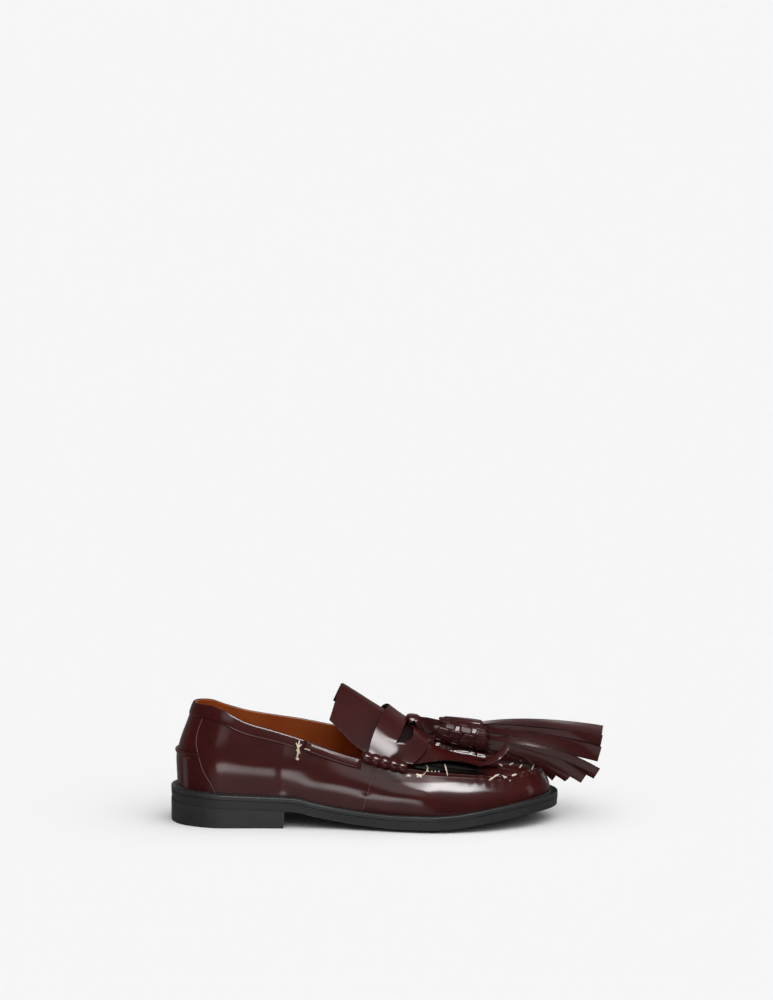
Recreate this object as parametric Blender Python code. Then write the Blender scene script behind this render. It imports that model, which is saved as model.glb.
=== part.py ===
"""Tassel loafer, right shoe: hollow upper, welted sole, saddle, tongue, kiltie and two tassels.

Lengths in the tables are millimetres. x runs from the heel's back to the toe, y from the outer side (minus)
to the inner side (plus), z up from the floor. The frame's origin lies under the middle of the heel.
"""
import math

import bmesh
import bpy
import numpy as np

MM = 0.001
GAP = 0.3
SMOOTH_LIMIT = math.radians(35.0)
SOLE_LENGTH = 285.0
ORIGIN_X = 42.0
WALL = 2.0

# Sole outline: x, half width, centre line
OUTLINE = (
    (12.0, 23.5, 0.0),
    (40.0, 33.0, 0.0),
    (80.0, 32.2, -1.0),
    (110.0, 32.6, -3.0),
    (140.0, 37.0, -4.0),
    (170.0, 44.0, -3.0),
    (197.0, 48.5, -1.5),
    (220.0, 47.6, 0.0),
    (245.0, 42.0, 1.5),
    (265.0, 32.6, 2.6),
    (277.0, 20.8, 3.0),
)
# Sole underside: x, height at the centre, lift of the edge
UNDERSIDE = (
    (0.0, 16.4, 0.0),
    (31.0, 15.0, 0.0),
    (62.0, 13.6, 0.0),
    (93.0, 12.2, 0.0),
    (103.0, 9.0, 0.6),
    (117.0, 5.8, 1.2),
    (133.0, 3.0, 1.8),
    (150.0, 1.0, 2.2),
    (166.0, 0.0, 2.4),
    (195.0, 0.0, 2.4),
    (207.0, 0.6, 2.4),
    (220.0, 2.2, 2.4),
    (240.0, 5.3, 2.2),
    (265.0, 8.8, 1.6),
    (285.0, 10.6, 0.4),
)
EDGE_ROLL = 22.0
OUTSOLE_EDGE = 6.3
WELT_LOW = OUTSOLE_EDGE + GAP
WELT_TOP = 9.9
WELT_WIDTH = 11.0
UPPER_LOW = WELT_TOP + GAP
INSOLE_THICK = 2.6
INSOLE_CLEAR = 0.7
SOLE_INSET = 0.7
EDGE_BEVEL = 0.5
EDGE_ROW = 5.0
# Rows of the outsole and of the insole, as shares of the way from their edge to the spine
SOLE_SHARES = (0.4, 1.0)
INSOLE_SHARES = (0.0, 0.35, 1.0)
HEEL_BREAST = 83.0
BREAST_ROW = 4.0
HEEL_INSET = 1.0
HEEL_STATIONS = 15
LIFT_THICK = 3.0

# Welt margin left outside the upper: x, margin
MARGIN = ((0.0, 5.0), (60.0, 4.4), (200.0, 4.4), (285.0, 6.2))
# The spine that all sections lean to: first x, last x
SPINE_BACK = 58.0
SPINE_TOE = 252.0
# The sole's own spine reaches nearer to its ends
SOLE_SPINE = (24.0, 258.0)
# Spine: x, height of the last's crown, sideways place
CROWN = (
    (58.0, 123.0, 0.0),
    (80.0, 117.0, 0.5),
    (105.0, 107.0, 1.5),
    (125.0, 97.5, 2.5),
    (145.0, 86.6, 3.0),
    (157.0, 79.9, 3.0),
    (170.0, 71.6, 3.0),
    (185.0, 62.0, 3.0),
    (200.0, 54.8, 3.0),
    (215.0, 49.6, 3.0),
    (230.0, 46.2, 3.0),
    (245.0, 44.0, 3.0),
    (252.0, 43.2, 3.0),
)
# Section shape: x, side power, top power, outward bulge
SECTION = (
    (0.0, 2.5, 1.65, 2.4),
    (60.0, 2.5, 1.65, 1.5),
    (150.0, 2.6, 1.65, 0.8),
    (200.0, 3.4, 1.65, 0.6),
    (240.0, 3.6, 1.65, 0.6),
    (285.0, 3.4, 1.6, 0.4),
)
# Top line (collar, then moccasin seam): x, height outside, height inside
TOPLINE = (
    (14.0, 89.0, 89.0),
    (30.0, 88.6, 86.0),
    (40.0, 85.6, 81.5),
    (57.0, 77.3, 76.5),
    (77.0, 71.3, 73.3),
    (95.0, 65.7, 70.8),
    (128.0, 54.8, 64.2),
    (147.0, 50.4, 58.5),
    (163.0, 47.2, 52.4),
    (178.0, 44.4, 47.8),
    (203.0, 41.6, 43.4),
    (225.0, 39.2, 40.4),
    (245.0, 37.2, 38.0),
    (262.0, 37.2, 37.4),
    (274.0, 38.2, 38.2),
)
BELLY_TOP = 0.55
THROAT_X = 158.7
RIDGE_HEIGHT = 1.5
RIDGE_HALF = 0.075
# Rows of the wall up to the top line and of the apron from there to the spine
WALL_SHARES = np.array([0.0, 0.16, 0.34, 0.52, 0.7, 0.86]) / 0.86
APRON_SHARES = np.array([0.0, 0.2, 0.42, 0.66, 1.0])
UPPER_COLUMNS = 40
SOLE_COLUMNS = 32

# Collar binding: x, width of the band
BINDING = ((0.0, 9.6), (40.0, 9.0), (95.0, 6.8))
BINDING_END = 95.0
BINDING_THICK = 0.9
BINDING_SWELL = 0.4
BINDING_ROWS = 3
STRIP_REACH = (96.5, 137.5)
STRIP_WIDTH = 7.8
STRIP_BODY = 1.0
STRIP_SWELL = 1.5
STRIP_ROWS = 5
# Counter at the heel: share of its height, x of its seam, thickness
COUNTER = (
    (0.0, 31.0, 1.0),
    (0.3, 26.5, 1.0),
    (0.6, 22.0, 1.0),
    (0.88, 19.0, 1.0),
    (0.94, 18.8, 1.9),
    (1.0, 18.6, 1.8),
)
COUNTER_TOP = 53.5
COUNTER_COLUMNS = 11
# Tongue: x, height of its outer edge, height of its inner edge, flare
TONGUE = (
    (97.0, 83.5, 89.0, 2.6),
    (106.0, 79.0, 85.5, 2.0),
    (135.0, 58.5, 67.0, 0.3),
    (142.0, 55.5, 64.5, 0.0),
    (158.0, 53.0, 59.0, 0.0),
)
# Tongue's rear edge: place across (0 crest, 1 side), x
TONGUE_REAR = ((0.0, 98.5), (0.5, 105.0), (0.8, 107.5), (1.0, 108.0))
TONGUE_FRONT = 158.0
TONGUE_THICK = 1.8
TONGUE_COLUMNS = 15
TONGUE_ROWS = 10
# Saddle: place across (0 crest, 1 end), x of rear edge, x of front edge
SADDLE = ((0.0, 145.0, 189.0), (0.5, 143.0, 189.0), (0.8, 140.0, 184.0), (1.0, 138.5, 177.0))
SADDLE_LOW = TONGUE_THICK + GAP
SADDLE_THICK = 1.8
SADDLE_LIFT = 4.8
SADDLE_COLUMNS = 27
SLOT_REACH = 0.64
SLOT_HALF = 0.15
SLOT_MIDDLE = 0.62
SLOT_SLANT = 0.18
ROLL_REACH = (139.5, 173.0)
ROLL_RADIUS = 3.5
ROLL_OFFSET = 5.5
ROLL_LOOPS = 5
ROLL_PINCH = 0.18
ROLL_SIDES = 8
# Kiltie strips from the outer edge in: x of the tip, rise of the tip
KILTIE_STRIPS = (
    (247.0, 15.0),
    (251.0, 1.0),
    (240.0, 2.0),
    (254.0, 1.0),
    (238.0, 1.0),
    (252.0, 1.0),
    (244.0, 0.8),
    (249.0, 0.5),
    (243.0, 0.5),
)
KILTIE_BACK = 162.0
KILTIE_SPLIT = 221.0
KILTIE_LOW = 0.45
KILTIE_THICK = 1.2
KILTIE_SLIT = 0.05
KILTIE_SLANT = 1.5
KILTIE_BODY_ROWS = 8
KILTIE_STRIP_ROWS = 5
KILTIE_MARGIN = (0.19, 0.4)
KILTIE_ARCH = 6.5
KILTIE_ARCH_START = 189.0
KILTIE_ARCH_LENGTH = 58.0
# Loop on the saddle: x, z of its middle line
LOOP = ((168.5, 79.4), (171.5, 79.8), (175.5, 78.6), (181.0, 75.8), (187.0, 73.8), (191.5, 72.6))
LOOP_WIDTH = 10.0
LOOP_THICK = 2.2
# Tassels: name, side, y of the barrel, z at its start, z at its end, how much shorter
TASSELS = (
    ("tassel_near", -1.0, -8.5, 68.6, 64.4, 0.0),
    ("tassel_far", 1.0, 32.5, 62.0, 57.0, 8.0),
)
BARREL_X = (200.0, 233.0)
BARREL_RADIUS = 11.2
# Barrel's profile: share of its length, share of its radius
BARREL_PROFILE = ((0.0, 0.9), (0.06, 1.0), (0.5, 1.0), (0.94, 1.0), (1.0, 0.88))
BARREL_SIDES = 16
NECK_START = (194.4, 4.2, 72.0)
NECK_RADIUS = 3.3
NECK_SIDES = 8
NECK_ENTRY = 0.1
# Tassel strips, measured from the barrel's end:
# root rise, middle x, out, rise, tip x, out, rise, tip width, tip lean
TASSEL_STRIPS = (
    (6.0, 262.0, 1.0, 12.0, 317.0, 1.0, 3.0, 11.0, 0.15),
    (3.0, 262.0, 4.0, 4.0, 316.0, 4.5, -7.0, 11.5, -0.2),
    (0.5, 262.0, 7.0, -2.5, 314.0, 7.0, -12.5, 10.0, 0.25),
    (-2.0, 260.0, 7.0, -8.0, 312.0, 9.0, -25.0, 9.5, 0.1),
    (-4.5, 256.0, 6.0, -11.5, 304.0, 7.5, -29.5, 9.5, -0.25),
    (-6.5, 252.0, 3.0, -13.5, 293.0, 4.0, -30.0, 8.5, 0.2),
    (1.5, 262.0, -5.0, 3.0, 312.0, -6.5, -6.0, 11.0, 0.35),
    (-3.0, 260.0, -6.0, -7.0, 306.0, -8.5, -19.0, 11.0, -0.3),
)
STRIP_ROOT_X = 224.0
STRIP_ROOT_WIDTH = 6.5
STRIP_ROOT_OUT = 0.4
STRIP_THICK = 1.7
STRIP_POINTS = 8


def column(rows, index):
    """One named column of a table."""
    return np.array([row[index] for row in rows], dtype=float)


def steady(knots, values, x):
    """Cubic through the rows that never overshoots them."""
    x = np.clip(np.asarray(x, dtype=float), knots[0], knots[-1])
    step = np.diff(knots)
    slope = np.diff(values) / step
    same = slope[:-1] * slope[1:] > 0
    safe = np.where(same, slope[:-1] + slope[1:], 1.0)
    inner = np.where(same, 2.0 * slope[:-1] * slope[1:] / safe, 0.0)
    tangent = np.concatenate(([slope[0]], inner, [slope[-1]]))
    i = np.clip(np.searchsorted(knots, x, side="right") - 1, 0, len(step) - 1)
    t = (x - knots[i]) / step[i]
    h = step[i]
    low = (1 + 2 * t) * (1 - t) ** 2 * values[i] + t * (1 - t) ** 2 * h * tangent[i]
    high = t * t * (3 - 2 * t) * values[i + 1] + t * t * (t - 1) * h * tangent[i + 1]
    return low + high


def table(rows, index, x):
    """Value of a table's column at x."""
    return steady(column(rows, 0), column(rows, index), x)


def ring_at(x):
    """Ring place on the outer side whose outline point has this x."""
    return math.acos(1.0 - 2.0 * x / SOLE_LENGTH) / math.pi


def outline(ring):
    """Sole outline in plan. ring 0 is the heel's back, 1 the toe, 2 the heel again."""
    angle = math.pi * np.asarray(ring, dtype=float)
    x = SOLE_LENGTH * (1.0 - np.cos(angle)) / 2.0
    bend = np.arccos(np.clip(np.cos(angle), -1.0, 1.0))
    knots = np.arccos(1.0 - 2.0 * column(OUTLINE, 0) / SOLE_LENGTH)
    half = column(OUTLINE, 1)
    knots = np.concatenate(([-knots[0], 0.0], knots, [math.pi, 2 * math.pi - knots[-1]]))
    half = np.concatenate(([-half[0], 0.0], half, [0.0, -half[-1]]))
    y = table(OUTLINE, 2, x) - np.sign(np.sin(angle)) * steady(knots, half, bend)
    return np.stack([x, y], axis=-1)


def inset(ring, distance):
    """Outline drawn in by a distance."""
    step = 1e-3
    along = outline(np.asarray(ring) + step) - outline(np.asarray(ring) - step)
    along = along / np.linalg.norm(along, axis=-1, keepdims=True)
    inward = np.stack([-along[..., 1], along[..., 0]], axis=-1)
    return outline(ring) + inward * np.asarray(distance)[..., None]


def spine(ring, back=SPINE_BACK, toe=SPINE_TOE):
    """Plan point on the spine that a section leans to."""
    x = back + (toe - back) * (1.0 - np.cos(math.pi * np.asarray(ring))) / 2.0
    return np.stack([x, table(CROWN, 2, x)], axis=-1)


def sole_height(x, depth, level):
    """Height of a sole layer: level above the underside, depth in from the edge."""
    edge = np.clip(1.0 - depth / EDGE_ROLL, 0.0, 1.0) ** 2
    return table(UNDERSIDE, 1, x) + table(UNDERSIDE, 2, x) * edge + level


def feather(ring):
    """Edge where the upper meets the welt, with its height."""
    margin = table(MARGIN, 1, outline(ring)[..., 0])
    plan = inset(ring, margin)
    z = sole_height(plan[..., 0], margin, UPPER_LOW)
    return plan, z


def section_numbers(ring):
    """Foot, head and shape numbers of the section at a ring place."""
    foot, low = feather(ring)
    head = spine(ring)
    high = table(CROWN, 1, head[..., 0])
    x = outline(ring)[..., 0]
    return foot, low, head, high, table(SECTION, 1, x), table(SECTION, 2, x), table(SECTION, 3, x)


def last(ring, angle):
    """Outer face of the last. angle 0 is the feather edge, pi/2 the spine, past it the other side."""
    ring, angle = np.broadcast_arrays(np.asarray(ring, dtype=float), np.asarray(angle, dtype=float))
    over = angle > math.pi / 2
    ring = np.where(over, 2.0 - ring, ring)
    angle = np.where(over, math.pi - angle, angle)
    foot, low, head, high, side, top, bulge = section_numbers(ring)
    rise = np.sin(np.clip(angle, 0.0, None)) ** (2.0 / top)
    reach = 1.0 - np.clip(np.cos(angle), 0.0, None) ** (2.0 / side)
    belly = bulge * np.sin(math.pi * np.clip(rise / BELLY_TOP, 0.0, 1.0)) ** 2
    span = head - foot
    length = np.linalg.norm(span, axis=-1)
    plan = foot + span * (reach - belly / length)[..., None]
    return np.concatenate([plan, (low + (high - low) * rise)[..., None]], axis=-1)


def outward(ring, angle):
    """Unit normal of the last, pointing out."""
    step = 4e-3
    across = last(ring, np.asarray(angle) + step) - last(ring, np.maximum(np.asarray(angle) - step, 0.0))
    along = last(np.asarray(ring) + step, angle) - last(np.asarray(ring) - step, angle)
    normal = np.cross(along, across)
    size = np.linalg.norm(normal, axis=-1, keepdims=True)
    flat = size < 1e-9
    return np.where(flat, np.array([0.0, 0.0, 1.0]), normal / np.where(flat, 1.0, size))


def skin(ring, angle, offset):
    """Point at an offset from the last's outer face."""
    return last(ring, angle) + outward(ring, angle) * np.asarray(offset, dtype=float)[..., None]


def angle_at(ring, z):
    """Section angle at which the last reaches height z."""
    _, low, _, high, _, top, _ = section_numbers(ring)
    share = np.clip((z - low) / (high - low), 0.0, 1.0)
    return np.arcsin(share ** (top / 2.0))


def topline(ring):
    """Section angle of the collar edge and the moccasin seam."""
    ring = np.asarray(ring, dtype=float)
    inner_side = np.sin(math.pi * ring) < 0
    x = outline(ring)[..., 0]
    for _ in range(4):
        z = np.where(inner_side, table(TOPLINE, 2, x), table(TOPLINE, 1, x))
        angle = angle_at(ring, z)
        x = last(ring, angle)[..., 0]
    return angle


def make_material(name, colour, roughness):
    """Plain material of one sub-part."""
    material = bpy.data.materials.new(name)
    material.use_nodes = True
    shader = material.node_tree.nodes["Principled BSDF"]
    shader.inputs["Base Color"].default_value = (*colour, 1.0)
    shader.inputs["Roughness"].default_value = roughness
    return material


def shade_round(mesh):
    """Shade a mesh smooth, except at its sharp edges."""
    mesh.shade_smooth()
    mesh.set_sharp_from_angle(angle=SMOOTH_LIMIT)


def add_object(name, points, faces, material):
    """Closed mesh in metres under the shoe's empty."""
    mesh = bpy.data.meshes.new(name)
    shift = np.array([ORIGIN_X, 0.0, 0.0])
    mesh.from_pydata(((np.asarray(points) - shift) * MM).tolist(), [], faces)
    form = bmesh.new()
    form.from_mesh(mesh)
    bmesh.ops.remove_doubles(form, verts=form.verts, dist=1e-7)
    bmesh.ops.dissolve_degenerate(form, edges=form.edges, dist=1e-7)
    bmesh.ops.triangulate(form, faces=form.faces)
    bmesh.ops.recalc_face_normals(form, faces=form.faces)
    form.to_mesh(mesh)
    form.free()
    shade_round(mesh)
    mesh.materials.append(material)
    thing = bpy.data.objects.new(name, mesh)
    thing.parent = SHOE
    bpy.context.collection.objects.link(thing)
    return thing


def thick_sheet(name, outer, inner, material, keep=None, wrap=False):
    """Solid between two point grids. keep marks the cells that exist, wrap joins last column to first."""
    columns, rows = outer.shape[:2]
    number = {}
    index = np.zeros((columns, rows), dtype=int)
    points_out, points_in = [], []
    for i in range(columns):
        for j in range(rows):
            key = tuple(np.round(outer[i, j], 4))
            if key not in number:
                number[key] = len(points_out)
                points_out.append(outer[i, j])
                points_in.append(inner[i, j])
            index[i, j] = number[key]
    count = len(points_out)
    faces = []
    edges = set()
    for i in range(columns if wrap else columns - 1):
        for j in range(rows - 1):
            if keep is not None and not keep[i, j]:
                continue
            k = (i + 1) % columns
            loop = [index[i, j], index[k, j], index[k, j + 1], index[i, j + 1]]
            loop = [v for n, v in enumerate(loop) if v != loop[n - 1]]
            if len(set(loop)) < 3:
                continue
            faces.append([int(v) for v in loop])
            faces.append([int(v) + count for v in reversed(loop)])
            edges.update(zip(loop, loop[1:] + loop[:1]))
    for a, b in edges:
        if (b, a) not in edges:
            faces.append([int(b), int(a), int(a) + count, int(b) + count])
    return add_object(name, points_out + points_in, faces, material)


def ring_columns(first, final, count, *extra):
    """Ring places between two ends, on the shared columns of the upper."""
    places = np.linspace(-2.0, 4.0, 6 * count + 1)
    near = 0.3 / count
    places = [p for p in places if first + near < p < final - near]
    places = [p for p in places if all(abs(p - e) > near for e in extra)]
    return np.array(sorted([first, final, *extra, *places]))


def patch(name, rings, low, high, thickness, swell, rows, material):
    """Overlay cut from the last's own function between two angles, thicker by swell at its middle."""
    share = np.linspace(0.0, 1.0, rows + 1)
    ring = np.repeat(rings[:, None], rows + 1, axis=1)
    angle = low[:, None] + (high - low)[:, None] * share
    full = np.ones_like(angle)
    outer = skin(ring, angle, full * (GAP + thickness + swell * np.sin(math.pi * share)))
    inner = skin(ring, angle, full * GAP)
    thick_sheet(name, outer, inner, material)


def sole_rows(rings, depths, shares, levels):
    """Grid of sole points: rows at set depths from the edge, then at shares of the way to the spine."""
    rows = []
    for depth, level in zip(depths, levels):
        plan = inset(rings, np.full(len(rings), depth))
        z = sole_height(plan[:, 0], depth, level)
        rows.append(np.column_stack([plan, z]))
    start = inset(rings, np.full(len(rings), depths[-1]))
    middle = spine(rings, *SOLE_SPINE)
    reach = np.linalg.norm(middle - start, axis=-1)
    for share, level in zip(shares, levels[len(depths):]):
        plan = start + (middle - start) * share
        z = sole_height(plan[:, 0], depths[-1] + share * reach, level)
        rows.append(np.column_stack([plan, z]))
    return np.stack(rows, axis=1)


def build_sole():
    """Outsole with raised core, welt ring, insole, heel block and top lift."""
    breast = ring_at(HEEL_BREAST + BREAST_ROW)
    rings = ring_columns(0.0, 2.0, SOLE_COLUMNS, breast, 2.0 - breast)[:-1]
    core = WELT_WIDTH + GAP
    top = sole_rows(rings, (SOLE_INSET, core, core), SOLE_SHARES,
                    (OUTSOLE_EDGE, OUTSOLE_EDGE, WELT_TOP, WELT_TOP, WELT_TOP))
    under = sole_rows(rings, (SOLE_INSET + EDGE_BEVEL, EDGE_ROW, core), SOLE_SHARES, (0.0,) * top.shape[1])
    thick_sheet("outsole", top, under, BLACK, wrap=True)

    depths = (0.0, WELT_WIDTH)
    top = sole_rows(rings, depths, (), (WELT_TOP,) * 2)
    under = sole_rows(rings, depths, (), (WELT_LOW,) * 2)
    thick_sheet("welt", top, under, BLACK_WELT, wrap=True)

    margin = table(MARGIN, 1, outline(rings)[:, 0]) + WALL + INSOLE_CLEAR
    edge = inset(rings, margin)
    middle = spine(rings, *SOLE_SPINE)
    grids = []
    for level in (UPPER_LOW + INSOLE_THICK, UPPER_LOW):
        rows = []
        for share in INSOLE_SHARES:
            plan = edge + (middle - edge) * share
            depth = margin + share * np.linalg.norm(middle - edge, axis=-1)
            rows.append(np.column_stack([plan, sole_height(plan[:, 0], depth, level)]))
        grids.append(np.stack(rows, axis=1))
    thick_sheet("insole", grids[0], grids[1], TAN, wrap=True)
    build_heel()


def heel_grid(distance, height):
    """Cross strips of the heel's plan, from its back to the breast."""
    stations = np.linspace(0.0, ring_at(HEEL_BREAST), HEEL_STATIONS)
    outer_side = inset(stations, np.full(len(stations), distance))
    inner_side = inset(2.0 - stations, np.full(len(stations), distance))
    inner_side[:, 0] = outer_side[:, 0]
    grid = np.stack([outer_side, inner_side], axis=1)
    z = height(grid[..., 0])
    return np.concatenate([grid, z[..., None]], axis=-1)


def build_heel():
    """Heel block and top lift, cut straight at the breast."""
    seat = heel_grid(HEEL_INSET, lambda x: table(UNDERSIDE, 1, x) - GAP)
    base = heel_grid(HEEL_INSET, lambda x: np.full_like(x, LIFT_THICK + GAP))
    thick_sheet("heel", seat, base, BLACK)
    seat = heel_grid(SOLE_INSET, lambda x: np.full_like(x, LIFT_THICK))
    base = heel_grid(SOLE_INSET, lambda x: np.zeros_like(x))
    thick_sheet("top_lift", seat, base, BLACK_WELT)


def build_upper():
    """Hollow shell: wall ring all round, then the apron over the forefoot, with the seam as a ridge."""
    throat = ring_at(THROAT_X)
    rings = ring_columns(0.0, 2.0, UPPER_COLUMNS, throat, 2.0 - throat)[:-1]
    seam = topline(rings)
    front = (rings >= throat - 1e-9) & (rings <= 2.0 - throat + 1e-9)
    ridge = np.where(front, RIDGE_HEIGHT, 0.0)
    flank = WALL_SHARES[None, :] * (seam - RIDGE_HALF)[:, None]
    crest_start = np.minimum(seam + RIDGE_HALF, math.pi / 2)
    apron = crest_start[:, None] + (math.pi / 2 - crest_start)[:, None] * APRON_SHARES
    angle = np.concatenate([flank, seam[:, None], apron], axis=1)
    offset = np.zeros_like(angle)
    seam_row = len(WALL_SHARES)
    offset[:, seam_row] = ridge
    ring = np.repeat(rings[:, None], angle.shape[1], axis=1)
    outer = skin(ring, angle, offset)
    inner = skin(ring, angle, np.full_like(angle, -WALL))
    outer[:, 0, 2] = last(rings, np.zeros_like(rings))[:, 2]
    inner[:, 0, 2] = outer[:, 0, 2]
    keep = np.ones((len(rings), angle.shape[1] - 1), dtype=bool)
    cap = front & np.roll(front, -1)
    keep[:, seam_row:] = cap[:, None]
    thick_sheet("upper", outer, inner, BURGUNDY, keep=keep, wrap=True)


def below_topline(rings, width):
    """Angles of a band that hangs below the collar edge."""
    high = topline(rings)
    z = last(rings, high)[:, 2]
    return angle_at(rings, z - width), high


def build_collar():
    """Binding round the heel, thick strips on both sides, counter with its bead."""
    end = ring_at(BINDING_END)
    rings = ring_columns(-end, end, UPPER_COLUMNS)
    low, high = below_topline(rings, table(BINDING, 1, outline(rings)[:, 0]))
    patch("collar_binding", rings, low, high, BINDING_THICK, BINDING_SWELL, BINDING_ROWS, BURGUNDY)
    first, final = (ring_at(x) for x in STRIP_REACH)
    for name, rings in (("collar_strip_near", ring_columns(first, final, UPPER_COLUMNS)),
                        ("collar_strip_far", ring_columns(2.0 - final, 2.0 - first, UPPER_COLUMNS))):
        low, high = below_topline(rings, STRIP_WIDTH)
        patch(name, rings, low, high, STRIP_BODY, STRIP_SWELL, STRIP_ROWS, BURGUNDY)
    across = np.linspace(-1.0, 1.0, COUNTER_COLUMNS)
    shares = column(COUNTER, 0)
    edge = np.array([ring_at(x) for x in column(COUNTER, 1)])
    ring = across[:, None] * edge[None, :]
    _, foot = feather(ring)
    angle = angle_at(ring, foot + (COUNTER_TOP - foot) * shares)
    full = np.ones_like(ring)
    outer = skin(ring, angle, full * (GAP + column(COUNTER, 2)))
    inner = skin(ring, angle, full * GAP)
    outer[:, 0, 2] = foot[:, 0]
    inner[:, 0, 2] = foot[:, 0]
    thick_sheet("counter", outer, inner, BURGUNDY)


def across_angles(places, low_outer, low_inner):
    """Angles over the instep: place -1 is the outer edge, 0 the spine, 1 the inner edge."""
    lateral = math.pi / 2 + places * (math.pi / 2 - low_outer)
    medial = math.pi / 2 + places * (math.pi / 2 - low_inner)
    return np.where(places < 0, lateral, medial)


def rings_at(x):
    """Ring places on the outer side for an array of x."""
    return np.arccos(1.0 - 2.0 * np.asarray(x) / SOLE_LENGTH) / math.pi


def build_tongue():
    """Flared sheet that runs back from under the saddle."""
    places = np.linspace(-1.0, 1.0, TONGUE_COLUMNS)
    shares = np.linspace(0.0, 1.0, TONGUE_ROWS)
    rear = table(TONGUE_REAR, 1, np.abs(places))
    x = TONGUE_FRONT + (rear[None, :] - TONGUE_FRONT) * shares[:, None]
    ring = rings_at(x)
    low_outer = angle_at(ring, table(TONGUE, 1, x))
    low_inner = angle_at(2.0 - ring, table(TONGUE, 2, x))
    angle = across_angles(np.broadcast_to(places, x.shape), low_outer, low_inner)
    flare = table(TONGUE, 3, x)
    thick_sheet("tongue", skin(ring, angle, flare + TONGUE_THICK), skin(ring, angle, flare), BURGUNDY)


def seam_lift(ring, rise):
    """Angle a little above the top line."""
    return angle_at(ring, last(ring, topline(ring))[..., 2] + rise)


def build_saddle():
    """Band over the instep with an eye-shaped slot across its crest."""
    places = np.linspace(-1.0, 1.0, SADDLE_COLUMNS)
    size = np.abs(places)
    rear, front = table(SADDLE, 1, size), table(SADDLE, 2, size)
    share = np.clip(size / SLOT_REACH, 0.0, 1.0)
    middle = SLOT_MIDDLE - SLOT_SLANT * share ** 2
    half = SLOT_HALF * (1.0 - share ** 2)
    low, high = middle - half, middle + half
    rows = np.stack([0 * low, 0.5 * low, low, high, 0.5 * (1 + high), 0 * low + 1.0], axis=1)
    x = rear[:, None] + (front - rear)[:, None] * rows
    ring = rings_at(x)
    spread = np.repeat(places[:, None], rows.shape[1], axis=1)
    angle = across_angles(spread, seam_lift(ring, SADDLE_LIFT), seam_lift(2.0 - ring, SADDLE_LIFT))
    full = np.ones_like(x)
    outer = skin(ring, angle, full * (SADDLE_LOW + SADDLE_THICK))
    inner = skin(ring, angle, full * SADDLE_LOW)
    keep = np.ones((len(places), rows.shape[1] - 1), dtype=bool)
    keep[:, 2] = False
    thick_sheet("saddle", outer, inner, BURGUNDY, keep=keep)


def tube(name, path, radii, sides, material):
    """Closed round bar along a path of points."""
    along = np.gradient(path, axis=0)
    along /= np.linalg.norm(along, axis=1, keepdims=True)
    up = np.array([0.0, 0.0, 1.0])
    right = np.cross(along, up)
    right /= np.linalg.norm(right, axis=1, keepdims=True)
    lift = np.cross(right, along)
    turn = np.linspace(0.0, 2.0 * math.pi, sides, endpoint=False)
    rim = np.cos(turn)[None, :, None] * right[:, None, :] + np.sin(turn)[None, :, None] * lift[:, None, :]
    points = (path[:, None, :] + rim * radii[:, None, None]).reshape(-1, 3)
    count = len(path)
    faces = []
    for i in range(count - 1):
        for k in range(sides):
            m = (k + 1) % sides
            faces.append([i * sides + k, i * sides + m, (i + 1) * sides + m, (i + 1) * sides + k])
    faces.append(list(reversed(range(sides))))
    faces.append([(count - 1) * sides + k for k in range(sides)])
    return add_object(name, points, faces, material)


def build_rolls():
    """Rolled ends of the saddle, pinched between the wrapped loops."""
    share = np.linspace(0.0, 1.0, 2 * ROLL_LOOPS + 1)
    first, final = (ring_at(x) for x in ROLL_REACH)
    ring = first + (final - first) * share
    radii = ROLL_RADIUS * (1.0 - ROLL_PINCH + ROLL_PINCH * np.abs(np.sin(math.pi * ROLL_LOOPS * share)))
    for name, rings in (("roll_near", ring), ("roll_far", 2.0 - ring)):
        path = skin(rings, topline(rings), np.full(len(rings), ROLL_OFFSET))
        tube(name, path, radii, ROLL_SIDES, BURGUNDY)


def build_kiltie():
    """Fringed flap on the apron: one sheet whose front is slit into strips."""
    count = len(KILTIE_STRIPS)
    edges, tips, rises = [], [], []
    for n, (tip, rise) in enumerate(KILTIE_STRIPS):
        left = -1.0 + 2.0 * n / count
        right = -1.0 + 2.0 * (n + 1) / count
        edges += [left + (KILTIE_SLIT if n else 0.0), right]
        tips += [tip - KILTIE_SLANT, tip]
        rises += [rise, rise]
    places, tips, rises = np.array(edges), np.array(tips), np.array(rises)
    body = np.linspace(KILTIE_BACK, KILTIE_SPLIT, KILTIE_BODY_ROWS)
    steps = np.linspace(0.0, 1.0, KILTIE_STRIP_ROWS)[1:]
    strip = KILTIE_SPLIT + (tips - KILTIE_SPLIT)[:, None] * steps
    x = np.concatenate([np.repeat(body[None, :], len(places), axis=0), strip], axis=1)
    curl = np.concatenate([np.zeros_like(body), steps ** 2])
    ring = rings_at(x)
    spread = np.repeat(places[:, None], x.shape[1], axis=1)
    angle = across_angles(spread, topline(ring) + KILTIE_MARGIN[0], topline(2.0 - ring) + KILTIE_MARGIN[1])
    arch = np.sin(math.pi * np.clip((x - KILTIE_ARCH_START) / KILTIE_ARCH_LENGTH, 0.0, 1.0))
    lift = KILTIE_ARCH * arch * np.clip(-spread, 0.0, 1.0) ** 4 + rises[:, None] * curl
    rise = np.stack([0 * lift, 0 * lift, lift], axis=-1)
    full = np.ones_like(x)
    outer = skin(ring, angle, full * (KILTIE_LOW + KILTIE_THICK)) + rise
    inner = skin(ring, angle, full * KILTIE_LOW) + rise
    keep = np.ones((len(places), x.shape[1] - 1), dtype=bool)
    keep[1::2, len(body) - 1:] = False
    thick_sheet("kiltie", outer, inner, BURGUNDY, keep=keep)


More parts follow.
